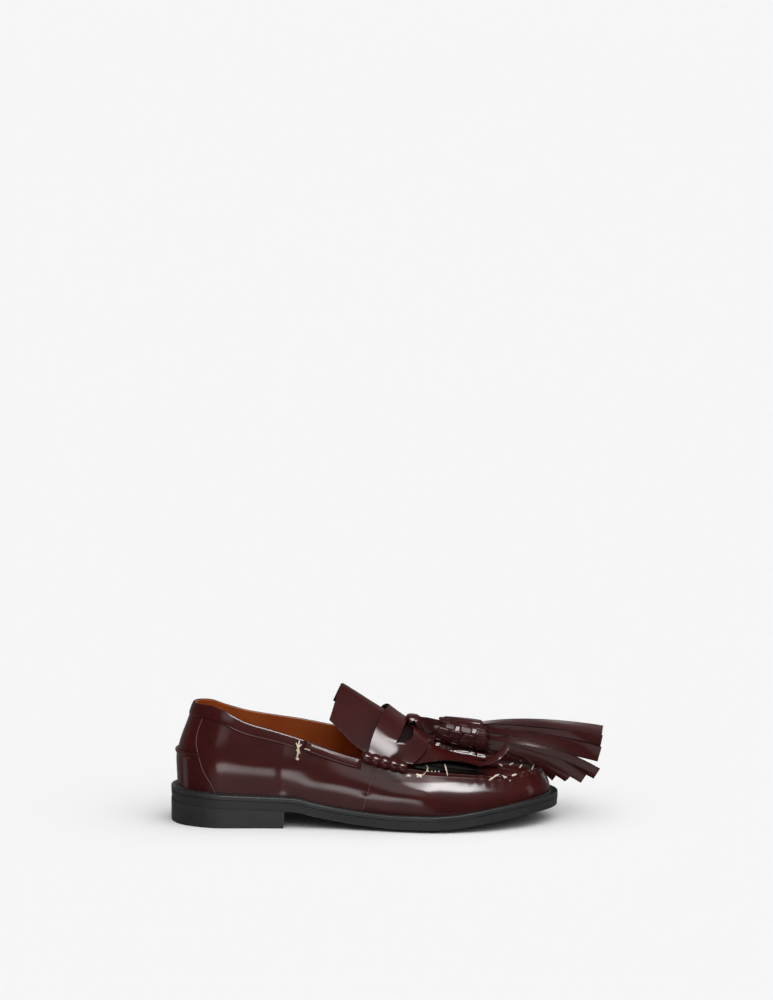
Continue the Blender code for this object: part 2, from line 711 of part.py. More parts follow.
def ribbon(name, path, width, thickness, material):
    """Flat strip along a path, its width vectors given at each point."""
    along = np.gradient(path, axis=0)
    face = np.cross(along, width)
    face *= 0.5 * thickness / np.linalg.norm(face, axis=1, keepdims=True)
    sides = np.stack([path - width / 2.0, path + width / 2.0], axis=1)
    return thick_sheet(name, sides + face[:, None, :], sides - face[:, None, :], material)


def fuse(body, others):
    """Join solids into the first one."""
    for other in others:
        step = body.modifiers.new("fuse", "BOOLEAN")
        step.operation = "UNION"
        step.solver = "EXACT"
        step.object = other
    graph = bpy.context.evaluated_depsgraph_get()
    mesh = bpy.data.meshes.new_from_object(body.evaluated_get(graph))
    body.modifiers.clear()
    shade_round(mesh)
    body.data = mesh
    for other in others:
        bpy.data.objects.remove(other, do_unlink=True)


def tassel_strip(name, row, side, middle_y, end_z, shorter):
    """One bent strip of a tassel, from inside the barrel to its tip."""
    root_rise, mid_x, mid_out, mid_rise, tip_x, tip_out, tip_rise, width, lean = row
    t = np.linspace(0.0, 1.0, STRIP_POINTS)[:, None]
    root = np.array([STRIP_ROOT_X, middle_y + side * STRIP_ROOT_OUT * mid_out, end_z + root_rise])
    bend = np.array([mid_x, middle_y + side * mid_out, end_z + mid_rise])
    tip = np.array([tip_x - shorter, middle_y + side * tip_out, end_z + tip_rise])
    path = (1 - t) ** 2 * root + 2 * t * (1 - t) * bend + t ** 2 * tip
    spread = STRIP_ROOT_WIDTH + (width - STRIP_ROOT_WIDTH) * t
    tilt = np.array([0.0, lean * side, 1.0]) / math.hypot(1.0, lean)
    return ribbon(name, path, spread * tilt, STRIP_THICK, BURGUNDY)


def build_tassel(name, side, middle_y, start_z, end_z, shorter):
    """Neck, barrel and strips of one tassel. side -1 is the outer one."""
    start = np.array([BARREL_X[0], middle_y, start_z])
    end = np.array([BARREL_X[1], middle_y, end_z])
    path = start + (end - start) * column(BARREL_PROFILE, 0)[:, None]
    body = tube(name, path, BARREL_RADIUS * column(BARREL_PROFILE, 1), BARREL_SIDES, BURGUNDY)
    neck_path = np.array([np.array(NECK_START) * (1.0, side, 1.0), start + (end - start) * NECK_ENTRY])
    others = [tube(name + "_neck", neck_path, np.full(2, NECK_RADIUS), NECK_SIDES, BURGUNDY)]
    for row in TASSEL_STRIPS:
        others.append(tassel_strip(name + "_strip", row, side, middle_y, end_z, shorter))
    fuse(body, others)


def build_loop():
    """Small leather loop that carries the tassels."""
    x, z = column(LOOP, 0), column(LOOP, 1)
    path = np.stack([x, np.zeros_like(x), z], axis=1)
    width = np.tile([0.0, LOOP_WIDTH, 0.0], (len(x), 1))
    ribbon("tassel_loop", path, width, LOOP_THICK, BURGUNDY)


def clear_scene():
    """Start from nothing."""
    for thing in list(bpy.data.objects):
        bpy.data.objects.remove(thing, do_unlink=True)


clear_scene()
SHOE = bpy.data.objects.new("shoe", None)
bpy.context.collection.objects.link(SHOE)
BLACK = make_material("sole_black", (0.025, 0.025, 0.027), 0.55)
BLACK_WELT = make_material("welt_black", (0.02, 0.02, 0.022), 0.5)
BURGUNDY = make_material("burgundy_leather", (0.05, 0.008, 0.008), 0.18)
TAN = make_material("tan_lining", (0.35, 0.085, 0.012), 0.5)
build_sole()
build_upper()
build_collar()
build_tongue()
build_saddle()
build_rolls()
build_kiltie()
build_loop()
for tassel in TASSELS:
    build_tassel(*tassel)
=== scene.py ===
# %% [markdown]
# # A tassel loafer in polished leather
# The real object is a right slip-on shoe: a glossy burgundy upper sewn to a black welted sole, with a
# saddle, a fringed kiltie and a pair of heavy tassels on top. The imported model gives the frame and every
# main size. This lesson dresses it piece by piece, so that each solid gets the finer form and finish of
# real leather.
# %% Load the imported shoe
import math

import bmesh
import bpy
import numpy as np
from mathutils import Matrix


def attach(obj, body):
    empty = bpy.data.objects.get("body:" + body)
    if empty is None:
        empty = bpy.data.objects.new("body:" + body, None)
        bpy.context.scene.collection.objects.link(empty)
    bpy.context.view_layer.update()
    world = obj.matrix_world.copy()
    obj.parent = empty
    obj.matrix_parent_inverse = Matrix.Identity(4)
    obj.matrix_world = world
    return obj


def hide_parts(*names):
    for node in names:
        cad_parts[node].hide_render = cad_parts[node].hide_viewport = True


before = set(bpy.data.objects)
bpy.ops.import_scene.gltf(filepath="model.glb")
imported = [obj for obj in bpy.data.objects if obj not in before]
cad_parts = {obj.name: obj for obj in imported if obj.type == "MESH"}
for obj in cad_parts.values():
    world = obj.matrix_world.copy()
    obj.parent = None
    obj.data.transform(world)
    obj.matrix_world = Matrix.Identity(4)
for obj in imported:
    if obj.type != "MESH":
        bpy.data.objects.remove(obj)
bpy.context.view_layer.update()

# %% [markdown]
# ## The shoe's own sizes
# A shoe is built on a last, a solid foot shape. Everything here is a function of that last, so one short
# table gives the sole's outline, one its underside, one the crown over the instep and one the collar.
# Points could be read from a scan instead, but tables with named columns stay readable and give any
# fineness of mesh. Lengths are millimetres: x from the heel's back to the toe, y minus on the outer side,
# z up.
# %% Tables of the last
# metres in a millimetre, clearance, length of the sole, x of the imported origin, wall of the upper
MM = 0.001
GAP = 0.3
SOLE_LENGTH = 285.0
ORIGIN_X = 42.0
WALL = 2.0
# x, half width, centre line
OUTLINE = (
    (12.0, 23.5, 0.0), (40.0, 33.0, 0.0), (80.0, 32.2, -1.0), (110.0, 32.6, -3.0), (140.0, 37.0, -4.0),
    (170.0, 44.0, -3.0), (197.0, 48.5, -1.5), (220.0, 47.6, 0.0), (245.0, 42.0, 1.5), (265.0, 32.6, 2.6),
    (277.0, 20.8, 3.0),
)
# x, height of the underside at the centre, lift of its edge
UNDERSIDE = (
    (0.0, 16.4, 0.0), (31.0, 15.0, 0.0), (62.0, 13.6, 0.0), (93.0, 12.2, 0.0), (103.0, 9.0, 0.6),
    (117.0, 5.8, 1.2), (133.0, 3.0, 1.8), (150.0, 1.0, 2.2), (166.0, 0.0, 2.4), (195.0, 0.0, 2.4),
    (207.0, 0.6, 2.4), (220.0, 2.2, 2.4), (240.0, 5.3, 2.2), (265.0, 8.8, 1.6), (285.0, 10.6, 0.4),
)
# x, margin of welt that shows outside the upper
MARGIN = ((0.0, 5.0), (60.0, 4.4), (200.0, 4.4), (285.0, 6.2))
# x, height of the crown, sideways place
CROWN = (
    (58.0, 123.0, 0.0), (80.0, 117.0, 0.5), (105.0, 107.0, 1.5), (125.0, 97.5, 2.5), (145.0, 86.6, 3.0),
    (157.0, 79.9, 3.0), (170.0, 71.6, 3.0), (185.0, 62.0, 3.0), (200.0, 54.8, 3.0), (215.0, 49.6, 3.0),
    (230.0, 46.2, 3.0), (245.0, 44.0, 3.0), (252.0, 43.2, 3.0),
)
# x, side power, top power, outward bulge
SECTION = (
    (0.0, 2.5, 1.65, 2.4), (60.0, 2.5, 1.65, 1.5), (150.0, 2.6, 1.65, 0.8), (200.0, 3.4, 1.65, 0.6),
    (240.0, 3.6, 1.65, 0.6), (285.0, 3.4, 1.6, 0.4),
)
# x, height of the collar and moccasin seam outside, height inside
TOPLINE = (
    (14.0, 89.0, 89.0), (30.0, 88.6, 86.0), (40.0, 85.6, 81.5), (57.0, 77.3, 76.5), (77.0, 71.3, 73.3),
    (95.0, 65.7, 70.8), (128.0, 54.8, 64.2), (147.0, 50.4, 58.5), (163.0, 47.2, 52.4), (178.0, 44.4, 47.8),
    (203.0, 41.6, 43.4), (225.0, 39.2, 40.4), (245.0, 37.2, 38.0), (262.0, 37.2, 37.4), (274.0, 38.2, 38.2),
)
# x where the spine starts and ends, for the upper and for the sole
SPINE = (58.0, 252.0)
SOLE_SPINE = (24.0, 258.0)
# width of the sole's rounded edge, heights of the outsole's edge and of the welt's top over the underside
EDGE_ROLL = 22.0
OUTSOLE_EDGE = 6.3
WELT_TOP = 9.9
UPPER_LOW = WELT_TOP + GAP
THROAT_X = 158.7
print("tables of the last:", len(OUTLINE), "outline rows,", len(CROWN), "crown rows")

# %% [markdown]
# ## Reading the tables
# A smooth line through a few rows can overshoot between them and put a bump where the leather has none.
# The cubic used here keeps its slope flat at every peak, so it never leaves the range of its two rows.
# %% Smooth tables
def column(rows, index):
    """One named column of a table."""
    return np.array([row[index] for row in rows], dtype=float)


def steady(knots, values, x):
    """Cubic through the rows that never overshoots them."""
    x = np.clip(np.asarray(x, dtype=float), knots[0], knots[-1])
    step = np.diff(knots)
    slope = np.diff(values) / step
    same = slope[:-1] * slope[1:] > 0
    safe = np.where(same, slope[:-1] + slope[1:], 1.0)
    inner = np.where(same, 2.0 * slope[:-1] * slope[1:] / safe, 0.0)
    tangent = np.concatenate(([slope[0]], inner, [slope[-1]]))
    i = np.clip(np.searchsorted(knots, x, side="right") - 1, 0, len(step) - 1)
    t = (x - knots[i]) / step[i]
    h = step[i]
    low = (1 + 2 * t) * (1 - t) ** 2 * values[i] + t * (1 - t) ** 2 * h * tangent[i]
    high = t * t * (3 - 2 * t) * values[i + 1] + t * t * (t - 1) * h * tangent[i + 1]
    return low + high


def table(rows, index, x):
    """Value of a table's column at x."""
    return steady(column(rows, 0), column(rows, index), x)


def ease(value, first, final):
    """Soft step from 0 at first to 1 at final."""
    t = np.clip((np.asarray(value, dtype=float) - first) / (final - first), 0.0, 1.0)
    return t * t * (3.0 - 2.0 * t)


def hill(value, middle, half):
    """Soft hill, 1 at its middle, that fades over its half width."""
    return np.exp(-((np.asarray(value, dtype=float) - middle) / half) ** 2)


print("crown at the throat:", round(float(table(CROWN, 1, THROAT_X)), 1), "mm")

# %% [markdown]
# ## The last as one function
# A place on the last has two numbers: the ring, which runs round the sole's edge from the heel's back to
# the toe and home on the inner side, and the angle, which climbs from the feather edge over the side to
# the spine. Every piece of leather is cut from this one surface at some offset, so the pieces fit each
# other.
# %% Outline and spine
def rings_at(x):
    """Ring places on the outer side for x."""
    return np.arccos(1.0 - 2.0 * np.asarray(x, dtype=float) / SOLE_LENGTH) / math.pi


def outline(ring):
    """Sole outline in plan. ring 0 is the heel's back, 1 the toe, 2 the heel again."""
    angle = math.pi * np.asarray(ring, dtype=float)
    x = SOLE_LENGTH * (1.0 - np.cos(angle)) / 2.0
    bend = np.arccos(np.clip(np.cos(angle), -1.0, 1.0))
    knots = np.arccos(1.0 - 2.0 * column(OUTLINE, 0) / SOLE_LENGTH)
    half = column(OUTLINE, 1)
    knots = np.concatenate(([-knots[0], 0.0], knots, [math.pi, 2 * math.pi - knots[-1]]))
    half = np.concatenate(([-half[0], 0.0], half, [0.0, -half[-1]]))
    y = table(OUTLINE, 2, x) - np.sign(np.sin(angle)) * steady(knots, half, bend)
    return np.stack([x, y], axis=-1)


def inset(ring, distance):
    """Outline drawn in by a distance."""
    step = 1e-3
    along = outline(np.asarray(ring) + step) - outline(np.asarray(ring) - step)
    along = along / np.linalg.norm(along, axis=-1, keepdims=True)
    inward = np.stack([-along[..., 1], along[..., 0]], axis=-1)
    return outline(ring) + inward * np.asarray(distance)[..., None]


def spine(ring, reach=SPINE):
    """Plan point on the spine that a section leans to."""
    x = reach[0] + (reach[1] - reach[0]) * (1.0 - np.cos(math.pi * np.asarray(ring))) / 2.0
    return np.stack([x, table(CROWN, 2, x)], axis=-1)


print("outline half way along:", np.round(outline(0.5), 1), "mm")

# %% [markdown]
# ## Sections of the last
# A section climbs from the feather edge to the spine in a curve between an ellipse and a box, which two
# powers set, and a small bulge fills out its side. Sections could be drawn one by one, but a rule with a
# few numbers keeps them all in step. The way out from the surface gives every piece its offset.
# %% Sections and skin of the last
# share of a section's height that the bulge fills
BULGE_SHARE = 0.55


def sole_height(x, depth, level):
    """Height of a sole layer: level above the underside, depth in from the edge."""
    edge = np.clip(1.0 - depth / EDGE_ROLL, 0.0, 1.0) ** 2
    return table(UNDERSIDE, 1, x) + table(UNDERSIDE, 2, x) * edge + level


def feather(ring):
    """Edge where the upper meets the welt, with its height."""
    margin = table(MARGIN, 1, outline(ring)[..., 0])
    plan = inset(ring, margin)
    return plan, sole_height(plan[..., 0], margin, UPPER_LOW)


def section_numbers(ring):
    """Foot, head and shape numbers of the section at a ring place."""
    foot, low = feather(ring)
    head = spine(ring)
    high = table(CROWN, 1, head[..., 0])
    x = outline(ring)[..., 0]
    return foot, low, head, high, table(SECTION, 1, x), table(SECTION, 2, x), table(SECTION, 3, x)


def last(ring, angle):
    """Outer face of the last. angle 0 is the feather edge, pi/2 the spine, past it the other side."""
    ring, angle = np.broadcast_arrays(np.asarray(ring, dtype=float), np.asarray(angle, dtype=float))
    over = angle > math.pi / 2
    ring = np.where(over, 2.0 - ring, ring)
    angle = np.where(over, math.pi - angle, angle)
    foot, low, head, high, side, top, bulge = section_numbers(ring)
    rise = np.sin(np.clip(angle, 0.0, None)) ** (2.0 / top)
    reach = 1.0 - np.clip(np.cos(angle), 0.0, None) ** (2.0 / side)
    belly = bulge * np.sin(math.pi * np.clip(rise / BULGE_SHARE, 0.0, 1.0)) ** 2
    span = head - foot
    length = np.linalg.norm(span, axis=-1)
    plan = foot + span * (reach - belly / length)[..., None]
    return np.concatenate([plan, (low + (high - low) * rise)[..., None]], axis=-1)


def outward(ring, angle):
    """Unit normal of the last, pointing out."""
    step = 4e-3
    across = last(ring, np.asarray(angle) + step) - last(ring, np.maximum(np.asarray(angle) - step, 0.0))
    along = last(np.asarray(ring) + step, angle) - last(np.asarray(ring) - step, angle)
    normal = np.cross(along, across)
    size = np.linalg.norm(normal, axis=-1, keepdims=True)
    flat = size < 1e-9
    return np.where(flat, np.array([0.0, 0.0, 1.0]), normal / np.where(flat, 1.0, size))


def skin(ring, angle, offset):
    """Point at an offset from the last's outer face."""
    ring, angle, offset = np.broadcast_arrays(ring, angle, offset)
    return last(ring, angle) + outward(ring, angle) * np.asarray(offset, dtype=float)[..., None]


print("crest of the vamp:", np.round(last(0.6, math.pi / 2), 1), "mm")

# %% [markdown]
# ## Finding places on the last
# A shoemaker measures heights, not angles. These helpers turn a height into the section's angle, follow
# the collar and the moccasin seam round the shoe, and spread a sheet over the instep from its outer edge
# to its inner one.
# %% Angles for heights and edges
TOPLINE_ROUNDS = 4


def angle_at(ring, z):
    """Section angle at which the last reaches height z."""
    _, low, _, high, _, top, _ = section_numbers(ring)
    share = np.clip((z - low) / (high - low), 0.0, 1.0)
    return np.arcsin(share ** (top / 2.0))


def topline(ring):
    """Section angle of the collar edge and the moccasin seam."""
    ring = np.asarray(ring, dtype=float)
    inner_side = np.sin(math.pi * ring) < 0
    x = outline(ring)[..., 0]
    for _ in range(TOPLINE_ROUNDS):
        z = np.where(inner_side, table(TOPLINE, 2, x), table(TOPLINE, 1, x))
        angle = angle_at(ring, z)
        x = last(ring, angle)[..., 0]
    return angle


def across_angles(places, low_outer, low_inner):
    """Angles over the instep: place -1 is the outer edge, 0 the spine, 1 the inner edge."""
    lateral = math.pi / 2 + places * (math.pi / 2 - low_outer)
    medial = math.pi / 2 + places * (math.pi / 2 - low_inner)
    return np.where(places < 0, lateral, medial)


print("back of the collar:", np.round(last(0.0, topline(0.0)), 1), "mm")

# %% [markdown]
# ## Leather, rubber and thread
# The upper is polished leather with a dark top colour that was brushed back, so the red shows through in
# soft clouds. One shader group makes the grain and these clouds from noise on Object coordinates, and
# every material places it with its own values. A picture could carry the same look, but noise has no
# seams and any scale.
# %% Shader group for grain and clouds
# detail of the noise for grain, clouds and scuffs, and the range of noise that shows as clouds and scuffs
GRAIN_DETAIL = 4.0
CLOUD_DETAIL = 3.0
SCUFF_DETAIL = 2.0
CLOUD_RANGE = (0.35, 0.68)
SCUFF_RANGE = (0.3, 0.7)


def new_group(name, inputs, outputs):
    """Empty shader group with float inputs and outputs."""
    group = bpy.data.node_groups.new(name, "ShaderNodeTree")
    for socket, value in inputs:
        made = group.interface.new_socket(socket, in_out="INPUT", socket_type="NodeSocketFloat")
        made.default_value = value
    for socket in outputs:
        group.interface.new_socket(socket, in_out="OUTPUT", socket_type="NodeSocketFloat")
    return group, group.nodes.new("NodeGroupInput"), group.nodes.new("NodeGroupOutput")


def noise_node(tree, place, scale_socket, detail):
    """Noise on a place, scaled by a socket."""
    noise = tree.nodes.new("ShaderNodeTexNoise")
    noise.inputs["Detail"].default_value = detail
    tree.links.new(place, noise.inputs["Vector"])
    tree.links.new(scale_socket, noise.inputs["Scale"])
    return noise.outputs["Fac"]


def range_node(tree, value, low, high, to_low, to_high):
    """Map a value to another range."""
    step = tree.nodes.new("ShaderNodeMapRange")
    for name, number in (("From Min", low), ("From Max", high), ("To Min", to_low), ("To Max", to_high)):
        step.inputs[name].default_value = number
    tree.links.new(value, step.inputs["Value"])
    return step.outputs["Result"]


GRAIN, g_in, g_out = new_group(
    "grain_and_clouds",
    (("Grain Scale", 900.0), ("Cloud Scale", 45.0), ("Scuff Scale", 160.0)),
    ("Height", "Cloud", "Scuff"),
)
place = GRAIN.nodes.new("ShaderNodeTexCoord").outputs["Object"]
grain = noise_node(GRAIN, place, g_in.outputs["Grain Scale"], GRAIN_DETAIL)
GRAIN.links.new(grain, g_out.inputs["Height"])
cloud = noise_node(GRAIN, place, g_in.outputs["Cloud Scale"], CLOUD_DETAIL)
GRAIN.links.new(range_node(GRAIN, cloud, *CLOUD_RANGE, 0.0, 1.0), g_out.inputs["Cloud"])
scuff = noise_node(GRAIN, place, g_in.outputs["Scuff Scale"], SCUFF_DETAIL)
GRAIN.links.new(range_node(GRAIN, scuff, *SCUFF_RANGE, 0.0, 1.0), g_out.inputs["Scuff"])
print("shader group:", GRAIN.name, "with", len(GRAIN.nodes), "nodes")

# %% [markdown]
# ## Finishes
# Each surface of the shoe has one finish: polished leather, raw cut edges, tan lining, inked sole and
# thread. They differ only in a few numbers, so one function makes them all from a table. Two attributes
# of the mesh change a finish by place: painted_shade mixes in a dark colour, a painted shade for a fold
# that lies in shadow, and unpolished takes the clear coat of wax away. A second material with a hard
# border could do that too, but wax fades out softly.
# %% Materials
# name, dark colour, light colour, rough from, rough to, specular, coat, coat roughness, bump in mm
FINISHES = (
    ("upper_polish", (0.044, 0.0056, 0.0050), (0.058, 0.008, 0.0072), 0.4, 0.5, 0.04, 0.5, 0.11, 0.02),
    ("tassel_polish", (0.040, 0.0056, 0.0052), (0.056, 0.0086, 0.008), 0.4, 0.5, 0.04, 0.5, 0.12, 0.03),
    ("wrap_polish", (0.036, 0.0056, 0.0052), (0.050, 0.0084, 0.0078), 0.4, 0.5, 0.04, 0.14, 0.18, 0.02),
    ("tassel_edge", (0.010, 0.0030, 0.0030), (0.016, 0.0044, 0.0042), 0.55, 0.65, 0.04, 0.0, 0.3, 0.04),
    ("cut_edge", (0.008, 0.0026, 0.0024), (0.014, 0.0042, 0.0038), 0.6, 0.75, 0.06, 0.0, 0.3, 0.06),
    ("lining_tan", (0.420, 0.092, 0.012), (0.520, 0.128, 0.020), 0.42, 0.52, 0.2, 0.0, 0.3, 0.04),
    ("sole_black", (0.022, 0.022, 0.0230), (0.027, 0.027, 0.0282), 0.46, 0.56, 0.25, 0.0, 0.3, 0.02),
    ("welt_black", (0.020, 0.020, 0.0210), (0.028, 0.028, 0.0292), 0.4, 0.5, 0.3, 0.0, 0.3, 0.03),
    ("cream_thread", (0.640, 0.540, 0.380), (0.920, 0.850, 0.700), 0.4, 0.55, 0.4, 0.0, 0.3, 0.03),
    ("seam_thread", (0.200, 0.120, 0.100), (0.300, 0.200, 0.170), 0.5, 0.65, 0.35, 0.0, 0.3, 0.02),
)
# colour of the painted shade in the fold beside the seam under the kiltie, which lies in shadow
PAINTED_SHADE_COLOUR = (0.005, 0.0014, 0.0013, 1.0)


def make_finish(name, dark, light, rough_low, rough_high, specular, coat, coat_rough, bump):
    """Principled finish whose clouds, scuffs and grain come from the shared group."""
    material = bpy.data.materials.new(name)
    material.use_nodes = True
    tree = material.node_tree
    shader = tree.nodes["Principled BSDF"]
    group = tree.nodes.new("ShaderNodeGroup")
    group.node_tree = GRAIN
    colour = tree.nodes.new("ShaderNodeMix")
    colour.data_type = "RGBA"
    tree.links.new(group.outputs["Cloud"], colour.inputs["Factor"])
    colour.inputs["A"].default_value = (*dark, 1.0)
    colour.inputs["B"].default_value = (*light, 1.0)
    # painted shade: a mesh attribute mixes in a dark colour where a fold lies in shadow
    painted_shade = tree.nodes.new("ShaderNodeAttribute")
    painted_shade.attribute_name = "painted_shade"
    dull = tree.nodes.new("ShaderNodeMix")
    dull.data_type = "RGBA"
    tree.links.new(painted_shade.outputs["Fac"], dull.inputs["Factor"])
    tree.links.new(colour.outputs["Result"], dull.inputs["A"])
    dull.inputs["B"].default_value = PAINTED_SHADE_COLOUR
    tree.links.new(dull.outputs["Result"], shader.inputs["Base Color"])
    rough = range_node(tree, group.outputs["Scuff"], 0.0, 1.0, rough_low, rough_high)
    tree.links.new(rough, shader.inputs["Roughness"])
    relief = tree.nodes.new("ShaderNodeBump")
    relief.inputs["Distance"].default_value = bump * MM
    tree.links.new(group.outputs["Height"], relief.inputs["Height"])
    tree.links.new(relief.outputs["Normal"], shader.inputs["Normal"])
    shader.inputs["Specular IOR Level"].default_value = specular
    unpolished = tree.nodes.new("ShaderNodeAttribute")
    unpolished.attribute_name = "unpolished"
    polish = range_node(tree, unpolished.outputs["Fac"], 0.0, 1.0, coat, 0.0)
    tree.links.new(polish, shader.inputs["Coat Weight"])
    shader.inputs["Coat Roughness"].default_value = coat_rough
    return material


FINISH = {row[0]: make_finish(*row) for row in FINISHES}
print("finishes:", ", ".join(FINISH))

# %% [markdown]
# ## From grids to leather
# A leather piece is a sheet: an outer grid of points, an inner grid, and a rim that joins them. A
# Solidify modifier could give one grid its thickness, but two grids let the inner face stay smooth where
# the outer one is worked.
# %% Sheets from grids
# points that lie closer than this, in metres, are one point
MERGE_DISTANCE = 1e-7


def to_row(points):
    """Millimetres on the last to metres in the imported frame."""
    return (np.asarray(points, dtype=float) - (ORIGIN_X, 0.0, 0.0)) * MM


def add_piece(name, points, faces, materials, kinds=None):
    """Closed mesh with smooth shading. kinds gives each face its place in the materials."""
    mesh = bpy.data.meshes.new(name)
    mesh.from_pydata(to_row(points).tolist(), [], faces)
    if kinds is not None:
        mesh.polygons.foreach_set("material_index", kinds)
    form = bmesh.new()
    form.from_mesh(mesh)
    bmesh.ops.remove_doubles(form, verts=form.verts, dist=MERGE_DISTANCE)
    bmesh.ops.dissolve_degenerate(form, edges=form.edges, dist=MERGE_DISTANCE)
    bmesh.ops.recalc_face_normals(form, faces=form.faces)
    form.to_mesh(mesh)
    form.free()
    mesh.shade_smooth()
    for material in materials:
        mesh.materials.append(material)
    thing = bpy.data.objects.new(name, mesh)
    bpy.context.collection.objects.link(thing)
    return thing


def sheet_faces(index, keep, wrap):
    """Cells of a point grid and the rim edges that only one cell uses."""
    columns, rows = index.shape
    cells = []
    for i in range(columns if wrap else columns - 1):
        k = (i + 1) % columns
        for j in range(rows - 1):
            if keep is not None and not keep[i, j]:
                continue
            loop = [index[i, j], index[k, j], index[k, j + 1], index[i, j + 1]]
            loop = [int(v) for n, v in enumerate(loop) if v != loop[n - 1]]
            if len(set(loop)) > 2:
                cells.append(loop)
    edges = {pair for loop in cells for pair in zip(loop, loop[1:] + loop[:1])}
    return cells, [(a, b) for a, b in edges if (b, a) not in edges]


def sheet_piece(name, outer, inner, material, keep=None, wrap=False, rim_material=None):
    """Solid between two point grids. keep marks the cells that exist, wrap joins last column to first."""
    flat = outer.reshape(-1, 3)
    _, first, index = np.unique(np.round(flat, 4), axis=0, return_index=True, return_inverse=True)
    cells, rim = sheet_faces(index.reshape(outer.shape[:2]), keep, wrap)
    count = len(first)
    faces = cells + [[v + count for v in reversed(loop)] for loop in cells]
    faces += [[b, a, a + count, b + count] for a, b in rim]
    points = np.concatenate([flat[first], inner.reshape(-1, 3)[first]])
    kinds = [0] * (2 * len(cells)) + [1 if rim_material else 0] * len(rim)
    thing = add_piece(name, points, faces, [material, rim_material or material], kinds)
    form = bmesh.new()
    form.from_mesh(thing.data)
    loose = [v for v in form.verts if not v.link_faces]
    bmesh.ops.delete(form, geom=loose, context="VERTS")
    form.to_mesh(thing.data)
    form.free()
    return thing


print("origin of the packed frame: x =", ORIGIN_X, "mm on the last")

# %% [markdown]
# ## Rims, and the frame
# The sharp rim of a sheet gets a small bevel, because cut leather always rounds a little and a rounded
# edge catches the light. Weighted normals keep the broad faces flat beside the bevel. Each finished piece
# is made a plain mesh and tied to the shoe's one body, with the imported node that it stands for.
# %% Rounded rims and finished pieces
def make_plain(thing):
    """Turn the result of the modifiers into the piece's own plain mesh."""
    graph = bpy.context.evaluated_depsgraph_get()
    mesh = bpy.data.meshes.new_from_object(thing.evaluated_get(graph))
    thing.modifiers.clear()
    thing.data = mesh
    return thing


def soften(thing, radius, segments=2, limit=40.0):
    """Round the edges that are sharper than the limit, in millimetres and degrees."""
    bevel = thing.modifiers.new("rounded rim", "BEVEL")
    bevel.width = radius * MM
    bevel.segments = segments
    bevel.limit_method = "ANGLE"
    bevel.angle_limit = math.radians(limit)
    normals = thing.modifiers.new("flat faces", "WEIGHTED_NORMAL")
    normals.keep_sharp = False
    return make_plain(thing)


def settle(thing, slot, *nodes):
    """Hand a finished piece to the frame."""
    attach(thing, "root")
    if nodes:
        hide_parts(*nodes)
    triangles = sum(len(face.vertices) - 2 for face in thing.data.polygons)
    print("piece", thing.name, triangles, "triangles")
    return thing

# %% [markdown]
# ## The sole
# A welted sole is a stack: outsole, a welt strip that the upper is sewn to, a heel block and its thin top
# lift. Their edges are trimmed and inked together, so on the real shoe they read as one black band with
# fine lines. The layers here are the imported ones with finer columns, edges nearly flush and softly
# rounded corners.
# %% Outsole, welt and heel
SOLE_COLUMNS = 200
WELT_WIDTH = 11.0
WELT_ROUND = 0.7
# how far the first two rows of the underside are drawn in from the edge
UNDER_INSET = (0.5, 4.0)
# shares of the way from the welt's inner edge to the spine
CORE_SHARES = (0.2, 0.45, 0.7, 1.0)
# width of the fine line between two layers, radius of their corners
LINE = 0.02
CORNER = 0.02
# x of the heel's front face, thickness of its top lift, cross strips of points along it
HEEL_BREAST = 83.0
LIFT_THICK = 3.0
HEEL_STATIONS = 48
sole_rings = np.linspace(0.0, 2.0, SOLE_COLUMNS, endpoint=False)


def sole_rows(depths, shares, levels):
    """Grid of sole points: rows at set depths from the edge, then at shares of the way to the spine."""
    rows = []
    for depth, level in zip(depths, levels):
        plan = inset(sole_rings, np.full(SOLE_COLUMNS, depth))
        rows.append(np.column_stack([plan, sole_height(plan[:, 0], depth, level)]))
    start = inset(sole_rings, np.full(SOLE_COLUMNS, depths[-1]))
    middle = spine(sole_rings, SOLE_SPINE)
    reach = np.linalg.norm(middle - start, axis=-1)
    for share, level in zip(shares, levels[len(depths):]):
        plan = start + (middle - start) * share
        rows.append(np.column_stack([plan, sole_height(plan[:, 0], depths[-1] + share * reach, level)]))
    return np.stack(rows, axis=1)


def heel_grid(height):
    """Cross strips of the heel's plan, from its back to the breast."""
    stations = np.linspace(0.0, float(rings_at(HEEL_BREAST)), HEEL_STATIONS)
    outer_side = outline(stations)
    inner_side = outline(2.0 - stations)
    inner_side[:, 0] = outer_side[:, 0]
    grid = np.stack([outer_side, inner_side], axis=1)
    return np.concatenate([grid, height(grid[..., 0])[..., None]], axis=-1)


core = WELT_WIDTH + GAP
core_levels = (WELT_TOP,) * (1 + len(CORE_SHARES))
top = sole_rows((0.0, core, core), CORE_SHARES, (OUTSOLE_EDGE, OUTSOLE_EDGE) + core_levels)
under = sole_rows((*UNDER_INSET, core), CORE_SHARES, (0.0,) * top.shape[1])
outsole = soften(sheet_piece("sole_layer", top, under, FINISH["sole_black"], wrap=True), CORNER)
settle(outsole, "sole_rubber", "outsole")

welt_rows = (0.0, 0.5 * WELT_WIDTH, WELT_WIDTH)
top = sole_rows(welt_rows, (), (WELT_TOP,) * 3)
under = sole_rows(welt_rows, (), (OUTSOLE_EDGE + LINE,) * 3)
welt = soften(sheet_piece("welt_strip", top, under, FINISH["welt_black"], wrap=True), WELT_ROUND, 3)
settle(welt, "welt_leather", "welt")

seat = heel_grid(lambda x: table(UNDERSIDE, 1, x) - LINE)
base = heel_grid(lambda x: np.full_like(x, LIFT_THICK + LINE))
heel = soften(sheet_piece("heel_block", seat, base, FINISH["sole_black"]), CORNER)
settle(heel, "sole_rubber", "heel")
seat = heel_grid(lambda x: np.full_like(x, LIFT_THICK))
base = heel_grid(lambda x: np.zeros_like(x))
lift = soften(sheet_piece("heel_lift", seat, base, FINISH["sole_black"]), CORNER)
settle(lift, "sole_rubber", "top_lift")

